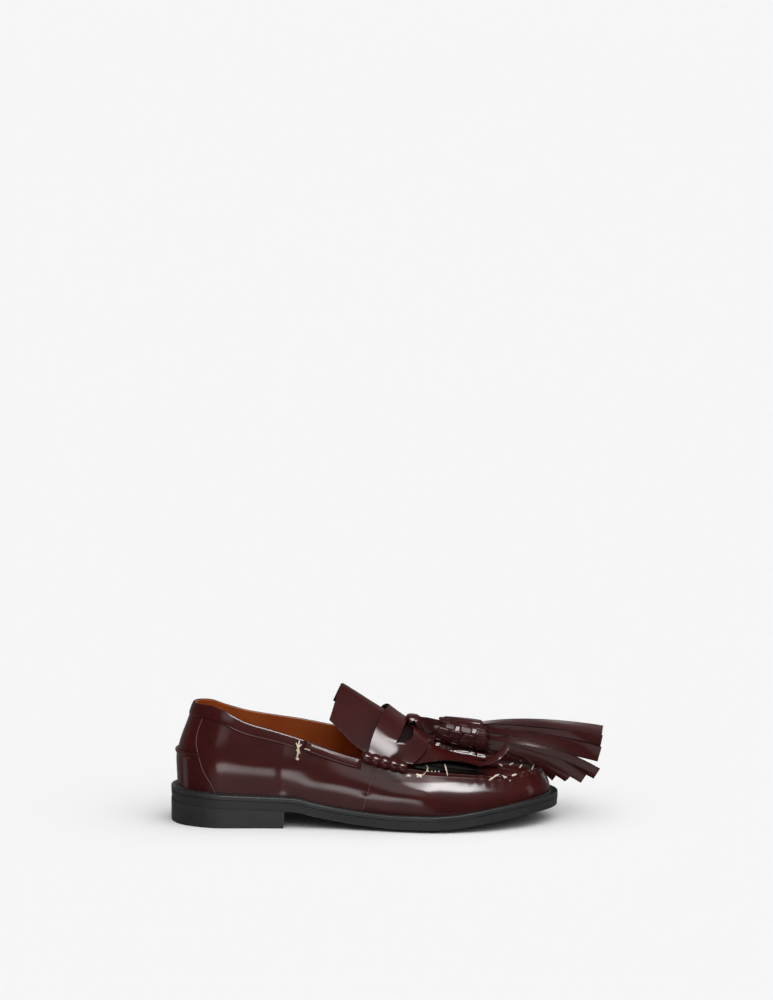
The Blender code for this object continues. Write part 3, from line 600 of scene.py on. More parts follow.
# %% [markdown]
# ## The insole
# The foot stands on a thin tan layer inside the upper. It follows the same outline, drawn in by the
# welt's margin and the upper's wall, so it is worked out from them and needs no drawing of its own.
# %% Insole
INSOLE_THICK = 2.6
INSOLE_CLEAR = 0.7
INSOLE_ROUND = 0.5
# shares of the way from its edge to the spine
INSOLE_SHARES = (0.0, 0.15, 0.35, 0.65, 1.0)

margin = table(MARGIN, 1, outline(sole_rings)[:, 0]) + WALL + INSOLE_CLEAR
edge = inset(sole_rings, margin)
middle = spine(sole_rings, SOLE_SPINE)
layers = []
for level in (UPPER_LOW + INSOLE_THICK, UPPER_LOW):
    rows = []
    for share in INSOLE_SHARES:
        plan = edge + (middle - edge) * share
        depth = margin + share * np.linalg.norm(middle - edge, axis=-1)
        rows.append(np.column_stack([plan, sole_height(plan[:, 0], depth, level)]))
    layers.append(np.stack(rows, axis=1))
insole = sheet_piece("sock_layer", layers[0], layers[1], FINISH["lining_tan"], wrap=True)
insole = soften(insole, INSOLE_ROUND)
settle(insole, "lining_leather", "insole")

# %% [markdown]
# ## The upper
# The upper is pulled over the last while damp, so it lies smooth except where it was worked: a raised
# roll along the moccasin seam, small gathers round the toe, a step where the vamp laps over the quarter,
# and a soft dent where the hidden heel stiffener ends. These are hills and troughs in millimetres, added
# to the last. Sculpting would give them too, but named depths can be read and changed.
# %% Relief of the upper
# raised roll along the seam: height, half width, length over which it rises from the throat
RIDGE_HEIGHT = 1.5
RIDGE_HALF = 1.6
RIDGE_FADE = 14.0
# gathers round the toe: pitch, depth, reach below the seam, share of the roll that waves, x of the start
GATHER_PITCH = 7.0
GATHER_DEPTH = 0.16
GATHER_HALF = 3.5
GATHER_SHARE = 0.25
GATHER_START = (200.0, 232.0)
# distances below the seam over which the wall's own relief starts, angle over which it ends at the welt
BELOW_SEAM = (0.5, 3.5)
FOOT_ANGLE = 0.12
# height of the vamp's edge over the quarter, half of the width in which it rises
VAMP_STEP = 0.45
VAMP_STEP_HALF = 0.35
# trough above the seam, under the kiltie: depth, distance, half width, x of its start and end
TROUGH_DEPTH = 1.8
TROUGH_OFF = 4.5
TROUGH_HALF = 2.6
TROUGH_START = (170.0, 182.0)
TROUGH_END = (222.0, 238.0)
# dent where the heel stiffener ends: x, depth, half width
STIFFENER_X = 82.5
STIFFENER_DENT = 0.35
STIFFENER_HALF = 3.0
SEAM_POINTS = 600
# height on the shoe, x of the seam where the vamp laps over the quarter
VAMP_SEAM = ((12.0, 139.5), (26.6, 143.6), (45.8, 149.5), (60.0, 153.0))
# dents, listed one by one: x, z, half length, half height, depth
DENTS = (
    (108.0, 40.0, 16.0, 7.0, 0.35),
    (60.0, 55.0, 18.0, 8.0, 0.25),
    (176.0, 27.0, 22.0, 6.0, -0.35),
    (232.0, 26.0, 14.0, 6.0, 0.30),
)
throat = float(rings_at(THROAT_X))
seam_rings = np.linspace(throat, 2.0 - throat, SEAM_POINTS)
seam_path = last(seam_rings, topline(seam_rings))
seam_steps = np.linalg.norm(np.diff(seam_path, axis=0), axis=1)
seam_length = np.concatenate(([0.0], np.cumsum(seam_steps)))


def is_front(ring):
    """True where the moccasin seam, not the collar, tops the wall."""
    return (ring >= throat - 1e-9) & (ring <= 2.0 - throat + 1e-9)


def upper_relief(ring, angle):
    """Height of the worked leather above the last."""
    seam = topline(ring)
    seam_place = last(ring, seam)
    place = last(ring, angle)
    off_seam = np.linalg.norm(place - seam_place, axis=-1) * np.sign(angle - seam)
    front = is_front(ring) * ease(seam_place[..., 0], THROAT_X, THROAT_X + RIDGE_FADE)
    wave = np.cos(2.0 * math.pi * np.interp(ring, seam_rings, seam_length) / GATHER_PITCH)
    toe = front * ease(seam_place[..., 0], *GATHER_START)
    roll = RIDGE_HEIGHT * front * hill(off_seam, 0.0, RIDGE_HALF) * (1.0 + GATHER_SHARE * toe * wave)
    gathers = GATHER_DEPTH * toe * wave * hill(off_seam, -GATHER_HALF, GATHER_HALF) * (off_seam < 0)
    below = ease(-off_seam, *BELOW_SEAM)
    past_vamp_seam = place[..., 0] - table(VAMP_SEAM, 1, place[..., 2])
    lap = VAMP_STEP * below * ease(past_vamp_seam, -VAMP_STEP_HALF, VAMP_STEP_HALF)
    stiffener = STIFFENER_DENT * below * hill(place[..., 0], STIFFENER_X, STIFFENER_HALF)
    dents = 0.0
    for x, z, length, height, depth in DENTS:
        dents = dents + depth * hill(place[..., 0], x, length) * hill(place[..., 2], z, height)
    foot = ease(angle, 0.0, FOOT_ANGLE)
    under_flap = ease(place[..., 0], *TROUGH_START) * (1.0 - ease(place[..., 0], *TROUGH_END))
    trough = TROUGH_DEPTH * front * under_flap * hill(off_seam, TROUGH_OFF, TROUGH_HALF)
    return roll + gathers + lap * foot - stiffener * foot - dents * below * foot - trough


print("moccasin seam:", round(float(seam_length[-1])), "mm long")

# %% [markdown]
# ## The leather shell
# The outer leather is one sheet from the feather edge up to the collar, and on over the apron in front of
# the throat. A scan would give it as a cloud of triangles. A grid of rings and angles on the last is
# better here, because its rows can crowd towards the moccasin seam, where the relief is finest.
# %% Leather shell
UPPER_COLUMNS = 320
WALL_ROWS = 34
APRON_ROWS = 22
# power that crowds the rows towards the seam
ROW_CROWDING = 1.5
# share of a column within which a ring gives way to the throat's own
THROAT_CLEAR = 0.3
LEATHER = 1.2
SHELL_ROUND = 0.3


def shell_grid(columns, wall_rows, apron_rows):
    """Ring and angle grids of the shell, denser near the seam, with the cells that exist."""
    rings = np.linspace(0.0, 2.0, columns, endpoint=False)
    to_throat = np.minimum(np.abs(rings - throat), np.abs(rings - 2.0 + throat))
    rings = rings[to_throat > THROAT_CLEAR / columns]
    rings = np.sort(np.concatenate([rings, [throat, 2.0 - throat]]))
    seam = topline(rings)
    wall = 1.0 - (1.0 - np.linspace(0.0, 1.0, wall_rows + 1)) ** ROW_CROWDING
    apron = np.linspace(0.0, 1.0, apron_rows + 1)[1:] ** ROW_CROWDING
    climb = seam[:, None] * wall
    crest = seam[:, None] + (math.pi / 2 - seam)[:, None] * apron
    front = is_front(rings)
    keep = np.ones((len(rings), wall_rows + apron_rows), dtype=bool)
    keep[:, wall_rows:] = (front & np.roll(front, -1))[:, None]
    angle = np.concatenate([climb, crest], axis=1)
    return np.repeat(rings[:, None], angle.shape[1], axis=1), angle, keep


ring, angle, keep = shell_grid(UPPER_COLUMNS, WALL_ROWS, APRON_ROWS)
outer = skin(ring, angle, upper_relief(ring, angle))
inner = skin(ring, angle, -LEATHER)
outer[:, 0, 2] = last(ring[:, 0], angle[:, 0])[:, 2]
inner[:, 0, 2] = outer[:, 0, 2]
shell = sheet_piece("upper_shell", outer, inner, FINISH["upper_polish"], keep=keep, wrap=True)
settle(soften(shell, SHELL_ROUND), "upper_leather", "upper")

# %% [markdown]
# ## Painted shade in the fold, and where the brush does not reach
# The fold beside the seam under the kiltie lies in shadow, and that shade is painted into its colour. A
# polishing brush slides over the vamp but not into the fold, nor right up to the seam's ridge, so both
# lose their wax. These places are marked on the shell's own points, by height and by x, and the finish
# reads the marks. Painting them by hand would do too, but a rule keeps its place when the last changes.
# %% Marks for painted shade and unpolished leather
# height over the seam from which the fold gets painted shade
PAINTED_SHADE_RISE = (0.2, 1.4)
# heights between which the brush fades out below the seam, the share of polish lost there,
# and the x where that band starts and ends
SEAM_FADE = (35.4, 36.8)
SEAM_DULL = 0.8
SEAM_DULL_START = (160.0, 172.0)
SEAM_DULL_END = (236.0, 250.0)


def mark_shade_and_dull(thing):
    """Mark painted shade in the fold beside the seam under the kiltie, and the band where the brush misses.
    """
    flat = np.empty(3 * len(thing.data.vertices), dtype=np.float32)
    thing.data.vertices.foreach_get("co", flat)
    x, y, z = flat.reshape(-1, 3).T / MM
    x = x + ORIGIN_X
    outer_seam = seam_path[: len(seam_path) // 2]
    above_seam = z - np.interp(x, outer_seam[:, 0], outer_seam[:, 2])
    in_fold = ease(x, *TROUGH_START) * (1.0 - ease(x, *TROUGH_END))
    # painted shade: the fold under the kiltie's overhang lies in shadow, so its colour is darkened
    shade = in_fold * ease(above_seam, *PAINTED_SHADE_RISE) * (y < 0.0)
    in_band = ease(x, *SEAM_DULL_START) * (1.0 - ease(x, *SEAM_DULL_END))
    dull = in_band * ease(z, *SEAM_FADE) * (y < 0.0)
    for name, values in (("painted_shade", shade), ("unpolished", np.maximum(shade, SEAM_DULL * dull))):
        layer = thing.data.attributes.new(name, "FLOAT", "POINT")
        layer.data.foreach_set("value", values.astype(np.float32))
    print("points in the dark fold:", int((shade > 0.5).sum()))
    print("points in the dull band:", int((dull > 0.5).sum()))


mark_shade_and_dull(shell)

# %% [markdown]
# ## The lining
# The tan lining shows inside the collar. On the real shoe it is a skin of its own, glued to the outer
# leather, so here it is a second sheet just inside the first. One thicker shell with two colours would be
# less work, but then the line between them could not run along the collar's edge.
# %% Lining
LINING_GAP = 0.04
LINING_ROUND = 0.2

ring, angle, keep = shell_grid(UPPER_COLUMNS // 2, WALL_ROWS // 2, APRON_ROWS // 2)
outer = skin(ring, angle, -LEATHER - LINING_GAP)
inner = skin(ring, angle, -WALL)
outer[:, 0, 2] = last(ring[:, 0], angle[:, 0])[:, 2]
inner[:, 0, 2] = outer[:, 0, 2]
lining = sheet_piece("upper_lining", outer, inner, FINISH["lining_tan"], keep=keep, wrap=True)
settle(soften(lining, LINING_ROUND), "lining_leather")

# %% [markdown]
# ## Collar binding and strips
# The collar's edge is bound with a folded band. In front of it a thicker rolled strip runs on to the
# saddle, less polished than the rest. Both could be swept along a curve, but then they would float off
# the leather or cut into it. They are cut from the last between two heights instead, with a rounded
# profile.
# %% Binding and strips
# x, width of the binding
BINDING = ((0.0, 9.6), (40.0, 9.0), (95.0, 6.8))
BINDING_END = 95.0
# x of the strips' ends, their width, the share of polish that they lack
STRIP_REACH = (96.5, 137.5)
STRIP_WIDTH = 7.8
STRIP_DULL = 0.45
# points along a band and cells across it
BINDING_GRID = (150, 12)
STRIP_GRID = (110, 14)
# thickness of a band at its edges, further rise of its middle, power that squares its profile
BAND_BASE = 0.2
BINDING_CROWN = 0.5
STRIP_CROWN = 1.5
BAND_SQUARE = 0.3
# share of a band's rise that is lost at both ends, share of its length over which that happens
BAND_END_DROP = 0.45
BAND_END = 0.05
# distance of the inner faces from the last
PRESSED = 0.05


def below_topline(rings, width):
    """Angles of a band that hangs below the collar edge."""
    high = topline(rings)
    return angle_at(rings, last(rings, high)[:, 2] - width), high


def band(name, rings, width, crown, rows):
    """Rounded band below the collar edge."""
    low, high = below_topline(rings, width)
    share = np.linspace(0.0, 1.0, rows + 1)[None, :]
    ring = np.repeat(rings[:, None], rows + 1, axis=1)
    angle = low[:, None] + (high - low)[:, None] * share
    swell = np.clip(np.sin(math.pi * share), 0.0, 1.0) ** BAND_SQUARE
    run = np.linspace(0.0, 1.0, len(rings))[:, None]
    ends = 1.0 - BAND_END_DROP * hill(run, 0.0, BAND_END) - BAND_END_DROP * hill(run, 1.0, BAND_END)
    outer = skin(ring, angle, PRESSED + BAND_BASE + crown * swell * ends)
    inner = skin(ring, angle, PRESSED)
    return sheet_piece(name, outer, inner, FINISH["upper_polish"], rim_material=FINISH["cut_edge"])


end = float(rings_at(BINDING_END))
end_rings = np.linspace(-end, end, BINDING_GRID[0])
binding_width = table(BINDING, 1, outline(end_rings)[:, 0])
binding = band("collar_band", end_rings, binding_width, BINDING_CROWN, BINDING_GRID[1])
settle(binding, "upper_leather", "collar_binding")
first, final = (float(v) for v in rings_at(STRIP_REACH))
near_rings = np.linspace(first, final, STRIP_GRID[0])
for side, rings in (("near", near_rings), ("far", 2.0 - near_rings[::-1])):
    strip = band("strip_" + side, rings, STRIP_WIDTH, STRIP_CROWN, STRIP_GRID[1])
    settle(strip, "upper_leather", "collar_strip_" + side)
    layer = strip.data.attributes.new("unpolished", "FLOAT", "POINT")
    layer.data.foreach_set("value", [STRIP_DULL] * len(strip.data.vertices))

# %% [markdown]
# ## The counter
# A patch of leather covers the back of the heel, where the shoe rubs most. Its upper end is thickened to
# a bead. A table gives its front seam and its thickness by height, and both sides of the heel are made in
# one grid.
# %% Counter
# share of the counter's height, x of its front seam, thickness
COUNTER = (
    (0.0, 31.0, 0.5), (0.3, 26.5, 0.5), (0.6, 22.0, 0.5), (0.86, 19.2, 0.6), (0.93, 18.8, 1.8),
    (0.97, 18.7, 2.0), (1.0, 18.6, 1.3),
)
COUNTER_TOP = 53.5
# share of the way to the seam from which the patch thins to half
COUNTER_THINS = 0.85
COUNTER_ROUND = 0.2
COUNTER_COLUMNS = 61
COUNTER_ROWS = 41

across = np.linspace(-1.0, 1.0, COUNTER_COLUMNS)[:, None]
share = np.linspace(0.0, 1.0, COUNTER_ROWS)[None, :]
ring = across * rings_at(table(COUNTER, 1, share))
_, foot = feather(ring)
angle = angle_at(ring, foot + (COUNTER_TOP - foot) * share)
taper = 1.0 - 0.5 * ease(np.abs(across), COUNTER_THINS, 1.0)
outer = skin(ring, angle, PRESSED + table(COUNTER, 2, share) * taper)
inner = skin(ring, angle, PRESSED)
outer[:, 0, 2] = foot[:, 0]
inner[:, 0, 2] = foot[:, 0]
counter = soften(sheet_piece("counter_patch", outer, inner, FINISH["upper_polish"]), COUNTER_ROUND)
settle(counter, "upper_leather", "counter")

# %% [markdown]
# ## The tongue
# The tongue is one sheet of leather that flares up behind the saddle. Bent over the instep it does not
# stay round: it folds along its middle and both halves lie nearly flat. So the sheet is first laid on the
# last, and then each half is drawn towards a straight line. Its cut edge is darker than the face, so the
# rim has a finish of its own.
# %% Tongue
# x, height of the outer edge, height of the inner edge, flare
TONGUE = (
    (97.0, 83.5, 89.0, 2.6), (106.0, 79.0, 85.5, 2.0), (135.0, 58.5, 67.0, 0.3), (142.0, 55.5, 64.5, 0.0),
    (158.0, 53.0, 59.0, 0.0),
)
# place across (0 crest, 1 side), x of the rear edge
TONGUE_REAR = ((0.0, 98.5), (0.5, 105.0), (0.8, 107.5), (1.0, 108.0))
TONGUE_FRONT = 158.0
TONGUE_THICK = 1.8
# half width of the fold, share by which the halves are drawn flat
TONGUE_FOLD = 0.1
TONGUE_FLAT = 0.92
TONGUE_COLUMNS = 61
TONGUE_ROWS = 41
# radius of the tongue's and the saddle's rims
CUT_ROUND = 0.15


def tongue_grid(x, places):
    """Ring, angle and flare of the tongue at x and a place across."""
    ring = rings_at(x)
    low_outer = angle_at(ring, table(TONGUE, 1, x))
    low_inner = angle_at(2.0 - ring, table(TONGUE, 2, x))
    angle = across_angles(np.broadcast_to(places, x.shape), low_outer, low_inner)
    return ring, angle, table(TONGUE, 3, x)


def flattened(grid, places):
    """Draw each half of a folded sheet towards a straight line from beside its fold to its edge."""
    flat = grid.copy()
    for half_sheet in (places <= -TONGUE_FOLD, places >= TONGUE_FOLD):
        columns = np.flatnonzero(half_sheet)
        near_fold = columns[np.argmin(np.abs(places[columns]))]
        edge_column = columns[np.argmax(np.abs(places[columns]))]
        share = (np.abs(places[columns]) - abs(places[near_fold])) / (1.0 - abs(places[near_fold]))
        reach = grid[:, [edge_column]] - grid[:, [near_fold]]
        chord = grid[:, [near_fold]] + reach * share[None, :, None]
        flat[:, columns] += (chord - grid[:, columns]) * TONGUE_FLAT
    return flat


places = np.linspace(-1.0, 1.0, TONGUE_COLUMNS)
shares = np.linspace(0.0, 1.0, TONGUE_ROWS)
rear = table(TONGUE_REAR, 1, np.abs(places))
x = TONGUE_FRONT + (rear[None, :] - TONGUE_FRONT) * shares[:, None]
ring, angle, flare = tongue_grid(x, places)
tongue = sheet_piece(
    "tongue_sheet", flattened(skin(ring, angle, flare + TONGUE_THICK), places),
    flattened(skin(ring, angle, flare), places),
    FINISH["upper_polish"], rim_material=FINISH["cut_edge"])
settle(soften(tongue, CUT_ROUND), "upper_leather", "tongue")

# %% [markdown]
# ## The saddle
# The saddle is the strap across the instep, with an eye-shaped slot in its crest. The slot could be cut
# with a Boolean, but that leaves ragged triangles beside it. Here the rows of the grid bend round the
# slot, and the cells inside it are left out. A thin dark sheet under the slot is painted shade: it stands
# in for the shadow inside the slot.
# %% Saddle, and a dark sheet of painted shade in its slot
# place across (0 crest, 1 end), x of the rear edge, x of the front edge
SADDLE = ((0.0, 146.5, 189.0), (0.5, 145.0, 189.0), (0.8, 143.0, 184.0), (1.0, 142.0, 177.0))
# distance from the last, thickness, how far above the top line its ends lie
SADDLE_LOW = TONGUE_THICK + GAP
SADDLE_THICK = 1.8
SADDLE_LIFT = 2.6
# columns of points across the shoe, rows on each side of the slot and rows of the dark sheet of painted
# shade under the slot
SADDLE_COLUMNS = 101
SADDLE_ROWS = 11
SLOT_SHADE_ROWS = 9
# place across, share from the rear edge to the front edge where the slot starts and ends
SLOT = (
    (0.0, 0.49, 0.63), (0.2, 0.478, 0.665), (0.4, 0.47, 0.68), (0.55, 0.458, 0.64), (0.65, 0.445, 0.55),
    (0.7, 0.44, 0.44), (1.0, 0.44, 0.44),
)
# rise of the slot's lip, power by which it rises, width of the slot from which it rises in full
SLOT_LIP = 0.3
SLOT_LIP_POWER = 3
SLOT_OPEN = 0.1
# rise of the crest, its half width across, power by which it sinks to the front
CREST_LIFT = 2.6
CREST_HALF = 0.45
CREST_FADE = 1.5
# rise of the front edge, shares from rear to front and places across between which it grows
FRONT_FLARE = 4.0
FLARE_ROWS = (0.45, 0.75)
FLARE_SIDES = (0.6, 1.3)
# shares from rear to front that the dark sheet of painted shade under the slot covers, its share of the
# width and its drop
SLOT_SHADE_SHARES = (0.36, 0.74)
SLOT_SHADE_SPREAD = 0.8
SLOT_SHADE_DROP = 0.25


def seam_lift(ring, rise):
    """Angle a little above the top line."""
    return angle_at(ring, last(ring, topline(ring))[..., 2] + rise)


def saddle_angles(ring, spread):
    """Angles across the saddle, whose ends stop a little above the top line."""
    return across_angles(spread, seam_lift(ring, SADDLE_LIFT), seam_lift(2.0 - ring, SADDLE_LIFT))


places = np.linspace(-1.0, 1.0, SADDLE_COLUMNS)
size = np.abs(places)
rear, front = table(SADDLE, 1, size), table(SADDLE, 2, size)
low, high = table(SLOT, 1, size), table(SLOT, 2, size)
steps = np.linspace(0.0, 1.0, SADDLE_ROWS)
rows = np.concatenate([low[:, None] * steps, high[:, None] + (1.0 - high)[:, None] * steps], axis=1)
x = rear[:, None] + (front - rear)[:, None] * rows
ring = rings_at(x)
spread = np.repeat(places[:, None], rows.shape[1], axis=1)
angle = saddle_angles(ring, spread)
opening = np.clip((high - low) / SLOT_OPEN, 0.0, 1.0)
lips = np.concatenate([steps ** SLOT_LIP_POWER, (1.0 - steps) ** SLOT_LIP_POWER])
near_slot = lips[None, :] * opening[:, None]
crest = CREST_LIFT * hill(spread, 0.0, CREST_HALF) * (1.0 - rows) ** CREST_FADE
flare = FRONT_FLARE * ease(rows, *FLARE_ROWS) * ease(np.abs(spread), *FLARE_SIDES)
lift = SADDLE_LOW + SLOT_LIP * near_slot + crest + flare
keep = np.ones((len(places), rows.shape[1] - 1), dtype=bool)
keep[:, len(steps) - 1] = False
saddle = sheet_piece(
    "saddle_strap", skin(ring, angle, lift + SADDLE_THICK), skin(ring, angle, lift),
    FINISH["upper_polish"], keep=keep, rim_material=FINISH["cut_edge"])
settle(soften(saddle, CUT_ROUND), "upper_leather", "saddle")

# a dark sheet under the slot, in the cut edge's finish: painted shade that stands in for the shadow inside
# the slot
shares = np.linspace(*SLOT_SHADE_SHARES, SLOT_SHADE_ROWS)
x = rear[:, None] + (front - rear)[:, None] * shares
ring = rings_at(x)
spread = np.repeat(places[:, None] * SLOT_SHADE_SPREAD, len(shares), axis=1)
angle = saddle_angles(ring, spread)
top = SADDLE_LOW - SLOT_SHADE_DROP
slot_shade = sheet_piece(
    "painted_slot_shade", skin(ring, angle, top), skin(ring, angle, top - SLOT_SHADE_DROP), FINISH["cut_edge"])
settle(slot_shade, "upper_leather")

# %% [markdown]
# ## Rolled ends
# The saddle's ends are rolled up tight and drawn in with thread, which shoemakers call a beef roll. Five
# soft beads are left between the turns of thread. Each roll is one bar along the top line whose radius
# swells and shrinks, and that gives softer beads than five balls in a row would.
# %% Rolled ends
# x of its ends, radius, distance of its middle from the last at both ends, further rise of its rear end
ROLL_REACH = (138.0, 173.0)
ROLL_RADIUS = 4.4
ROLL_OFFSET = (6.6, 4.8)
ROLL_RISE = 1.5
# beads, share of the radius that the thread draws in, power that keeps the beads full
ROLL_LOOPS = 5
ROLL_PINCH = 0.24
ROLL_FULL = 0.5
# share of the radius that is left at the roll's two ends, power of the rounding there
ROLL_END = 0.75
ROLL_END_POWER = 0.25
ROLL_POINTS = 121
ROLL_SIDES = 20


def tube_mesh(path, radii, sides):
    """Points and faces of a closed round bar along a path."""
    path = np.asarray(path, dtype=float)
    along = np.gradient(path, axis=0)
    along /= np.linalg.norm(along, axis=1, keepdims=True)
    up = np.where(np.abs(along[:, 2:]) > 0.9, [[0.0, 1.0, 0.0]], [[0.0, 0.0, 1.0]])
    right = np.cross(along, up)
    right /= np.linalg.norm(right, axis=1, keepdims=True)
    lift = np.cross(right, along)
    turn = np.linspace(0.0, 2.0 * math.pi, sides, endpoint=False)
    rim = np.cos(turn)[None, :, None] * right[:, None, :] + np.sin(turn)[None, :, None] * lift[:, None, :]
    points = (path[:, None, :] + rim * np.asarray(radii)[:, None, None]).reshape(-1, 3)
    count = len(path)
    faces = []
    for i in range(count - 1):
        for k in range(sides):
            m = (k + 1) % sides
            faces.append([i * sides + k, i * sides + m, (i + 1) * sides + m, (i + 1) * sides + k])
    faces.append(list(reversed(range(sides))))
    faces.append([(count - 1) * sides + k for k in range(sides)])
    return points, faces


share = np.linspace(0.0, 1.0, ROLL_POINTS)
first, final = (float(v) for v in rings_at(ROLL_REACH))
loops = np.abs(np.sin(math.pi * ROLL_LOOPS * share)) ** ROLL_FULL
round_ends = ROLL_END + (1.0 - ROLL_END) * np.sin(math.pi * share) ** ROLL_END_POWER
radii = ROLL_RADIUS * (1.0 - ROLL_PINCH + ROLL_PINCH * loops) * round_ends
for name, node, rings in (
        ("rolled_end_near", "roll_near", first + (final - first) * share),
        ("rolled_end_far", "roll_far", 2.0 - first - (final - first) * share)):
    path = skin(rings, topline(rings), ROLL_OFFSET[0] + (ROLL_OFFSET[1] - ROLL_OFFSET[0]) * share)
    path[:, 2] += ROLL_RISE * (1.0 - share)
    points, faces = tube_mesh(path, radii, ROLL_SIDES)
    settle(add_piece(name, points, faces, [FINISH["upper_polish"]]), "upper_leather", node)

# %% [markdown]
# ## Kiltie
# The kiltie is a flap that hangs from under the saddle onto the apron. Its front is slit into strips
# whose tips curl, and its outer edge arches clear of the vamp. It is one sheet: the grid's cells between
# two strips are simply left out in front of the slits.
# %% Sizes of the fringed flap
# x of the tip, rise of the tip, further rise of its inner edge, from the outer strip in
KILTIE_STRIPS = (
    (256.0, 18.0, 3.0), (251.0, 1.0, 0.0), (248.0, 2.0, 0.0), (254.0, 1.0, 0.0), (238.0, 1.0, 0.0),
    (252.0, 1.0, 0.0), (244.0, 0.8, 0.0), (249.0, 0.5, 0.0), (243.0, 0.5, 0.0),
)
# x of the back edge and of the slits' ends, power of the tips' curl
KILTIE_BACK = 162.0
KILTIE_SPLIT = 230.0
KILTIE_CURL = 1.4
# how much shorter a strip's outer corner is, because the strips are cut at a slant
TIP_SLANT = 1.5
# rows of points along the flap's body and along the strips
BODY_ROWS = 70
TIP_ROWS = 30
KILTIE_ROUND = 0.3
# distance from the last, thickness, width of a slit as a share, angles left free above the seam
KILTIE_LOW = 0.45
KILTIE_THICK = 1.2
KILTIE_SLIT = 0.05
KILTIE_MARGIN = (0.06, 0.4)
# arch of the outer edge: height, x of its start, length, power by which it sinks towards the crest
KILTIE_ARCH = 7.5
KILTIE_ARCH_START = 174.0
KILTIE_ARCH_LENGTH = 74.0
KILTIE_ARCH_POWER = 4
# columns of points across a strip, and across the strips that carry the fold
STRIP_COLUMNS = 8
FOLD_STRIPS = (1, 2)
FOLD_COLUMNS = 44
# fold under the barrel: x, height; it lies on a broad swell of the flap
KILTIE_FOLD = ((195.0, 0.0), (199.0, 2.6), (240.0, 2.6), (244.0, 0.0))
# y of the start and the end of the fold's steep front and of its back
FOLD_FRONT = (-15.4, -13.8)
FOLD_BACK = (-13.8, -8.0)
# the fold's line runs outwards towards the toe: x, y shift
FOLD_LINE = ((198.0, -0.7), (214.0, -2.7), (220.0, -2.7), (240.0, -2.0))
# x, y, half length, half width and height of the swell
FOLD_SWELL = (229.0, -14.0, 10.0, 9.0, 1.2)
# x, half length and depth of the wrinkles that break the fold
FOLD_BREAKS = (208.0, 213.5, 228.5, 234.0)
FOLD_BREAK_HALF = 0.5
FOLD_BREAK_DEPTH = 0.5
print("strips of the flap:", len(KILTIE_STRIPS))

# %% [markdown]
# ## The flap's grid
# Lines of points run from under the saddle to the tips of the strips, closer together where the fold
# lies. The arch, the curl of the tips, the fold under the barrel and the swell that it lies on are
# heights, added one after the other. A cloth simulation would fold it too, but not at a chosen place.
# %% Fringed flap
places, tips, rises, strip_ends = [], [], [], []
for n, (tip, rise, twist) in enumerate(KILTIE_STRIPS):
    left = -1.0 + 2.0 * n / len(KILTIE_STRIPS) + (KILTIE_SLIT if n else 0.0)
    right = -1.0 + 2.0 * (n + 1) / len(KILTIE_STRIPS)
    for share in np.linspace(0.0, 1.0, FOLD_COLUMNS if n in FOLD_STRIPS else STRIP_COLUMNS):
        places.append(left + (right - left) * share)
        tips.append(tip - TIP_SLANT + TIP_SLANT * share)
        rises.append(rise + twist * share)
    strip_ends.append(len(places) - 1)
places, tips, rises = np.array(places), np.array(tips), np.array(rises)
body = np.linspace(KILTIE_BACK, KILTIE_SPLIT, BODY_ROWS)
steps = np.linspace(0.0, 1.0, TIP_ROWS + 1)[1:]
x = np.concatenate([
    np.repeat(body[None, :], len(places), axis=0),
    KILTIE_SPLIT + (tips - KILTIE_SPLIT)[:, None] * steps], axis=1)
curl = np.concatenate([np.zeros_like(body), steps ** KILTIE_CURL])
ring = rings_at(x)
spread = np.repeat(places[:, None], x.shape[1], axis=1)
angle = across_angles(spread, topline(ring) + KILTIE_MARGIN[0], topline(2.0 - ring) + KILTIE_MARGIN[1])
arch = np.sin(math.pi * np.clip((x - KILTIE_ARCH_START) / KILTIE_ARCH_LENGTH, 0.0, 1.0))
lift = KILTIE_ARCH * arch * np.clip(-spread, 0.0, 1.0) ** KILTIE_ARCH_POWER + rises[:, None] * curl
fold = table(KILTIE_FOLD, 1, x)
for place in FOLD_BREAKS:
    fold = fold * (1.0 - FOLD_BREAK_DEPTH * hill(x, place, FOLD_BREAK_HALF))
fold_y = skin(ring, angle, KILTIE_LOW)[..., 1]
swell_x, swell_y, half_length, half_width, height = FOLD_SWELL
lift = lift + height * hill(x, swell_x, half_length) * hill(fold_y, swell_y, half_width)
fold_y = fold_y - table(FOLD_LINE, 1, x)
lift = lift + fold * ease(fold_y, *FOLD_FRONT) * (1.0 - ease(fold_y, *FOLD_BACK))
rise = np.stack([0 * lift, 0 * lift, lift], axis=-1)
keep = np.ones((len(places), x.shape[1] - 1), dtype=bool)
keep[strip_ends, len(body) - 1:] = False
kiltie = sheet_piece(
    "kiltie_flap", skin(ring, angle, KILTIE_LOW + KILTIE_THICK) + rise,
    skin(ring, angle, KILTIE_LOW) + rise,
    FINISH["upper_polish"], keep=keep, rim_material=FINISH["cut_edge"])
settle(soften(kiltie, KILTIE_ROUND), "upper_leather", "kiltie")

# %% [markdown]
# ## The strap that holds the tassels
# A strap comes up through the saddle's slot, folds over and carries the tassels. Its two edges are turned
# down, one further than the other. A flat ribbon would look like card, so the strap is a bent section
# carried along a line.
# %% Strap loop
# x, z of the strap's middle line, from the slot over the saddle's front band and down before it
LOOP = (
    (173.6, 68.0), (172.8, 72.6), (172.9, 76.6), (174.2, 78.4), (177.4, 78.8), (181.0, 78.2),
    (183.8, 76.4), (186.0, 73.4), (187.6, 70.0), (188.8, 66.0),
)
# y across the strap, drop below the middle line; both edges are turned down
LOOP_SECTION = (
    (6.5, 9.0), (6.0, 4.5), (5.0, 1.6), (2.5, 0.3), (0.0, 0.0), (-2.5, 0.6), (-4.8, 2.0), (-5.4, 2.9),
    (-5.9, 3.8), (-6.3, 4.6), (-6.5, 5.4),
)
LOOP_THICK = 1.7
LOOP_ROUND = 0.3
LOOP_ROWS = 64
LOOP_COLUMNS = 25
ACROSS_SHOE = np.array([0.0, 1.0, 0.0])


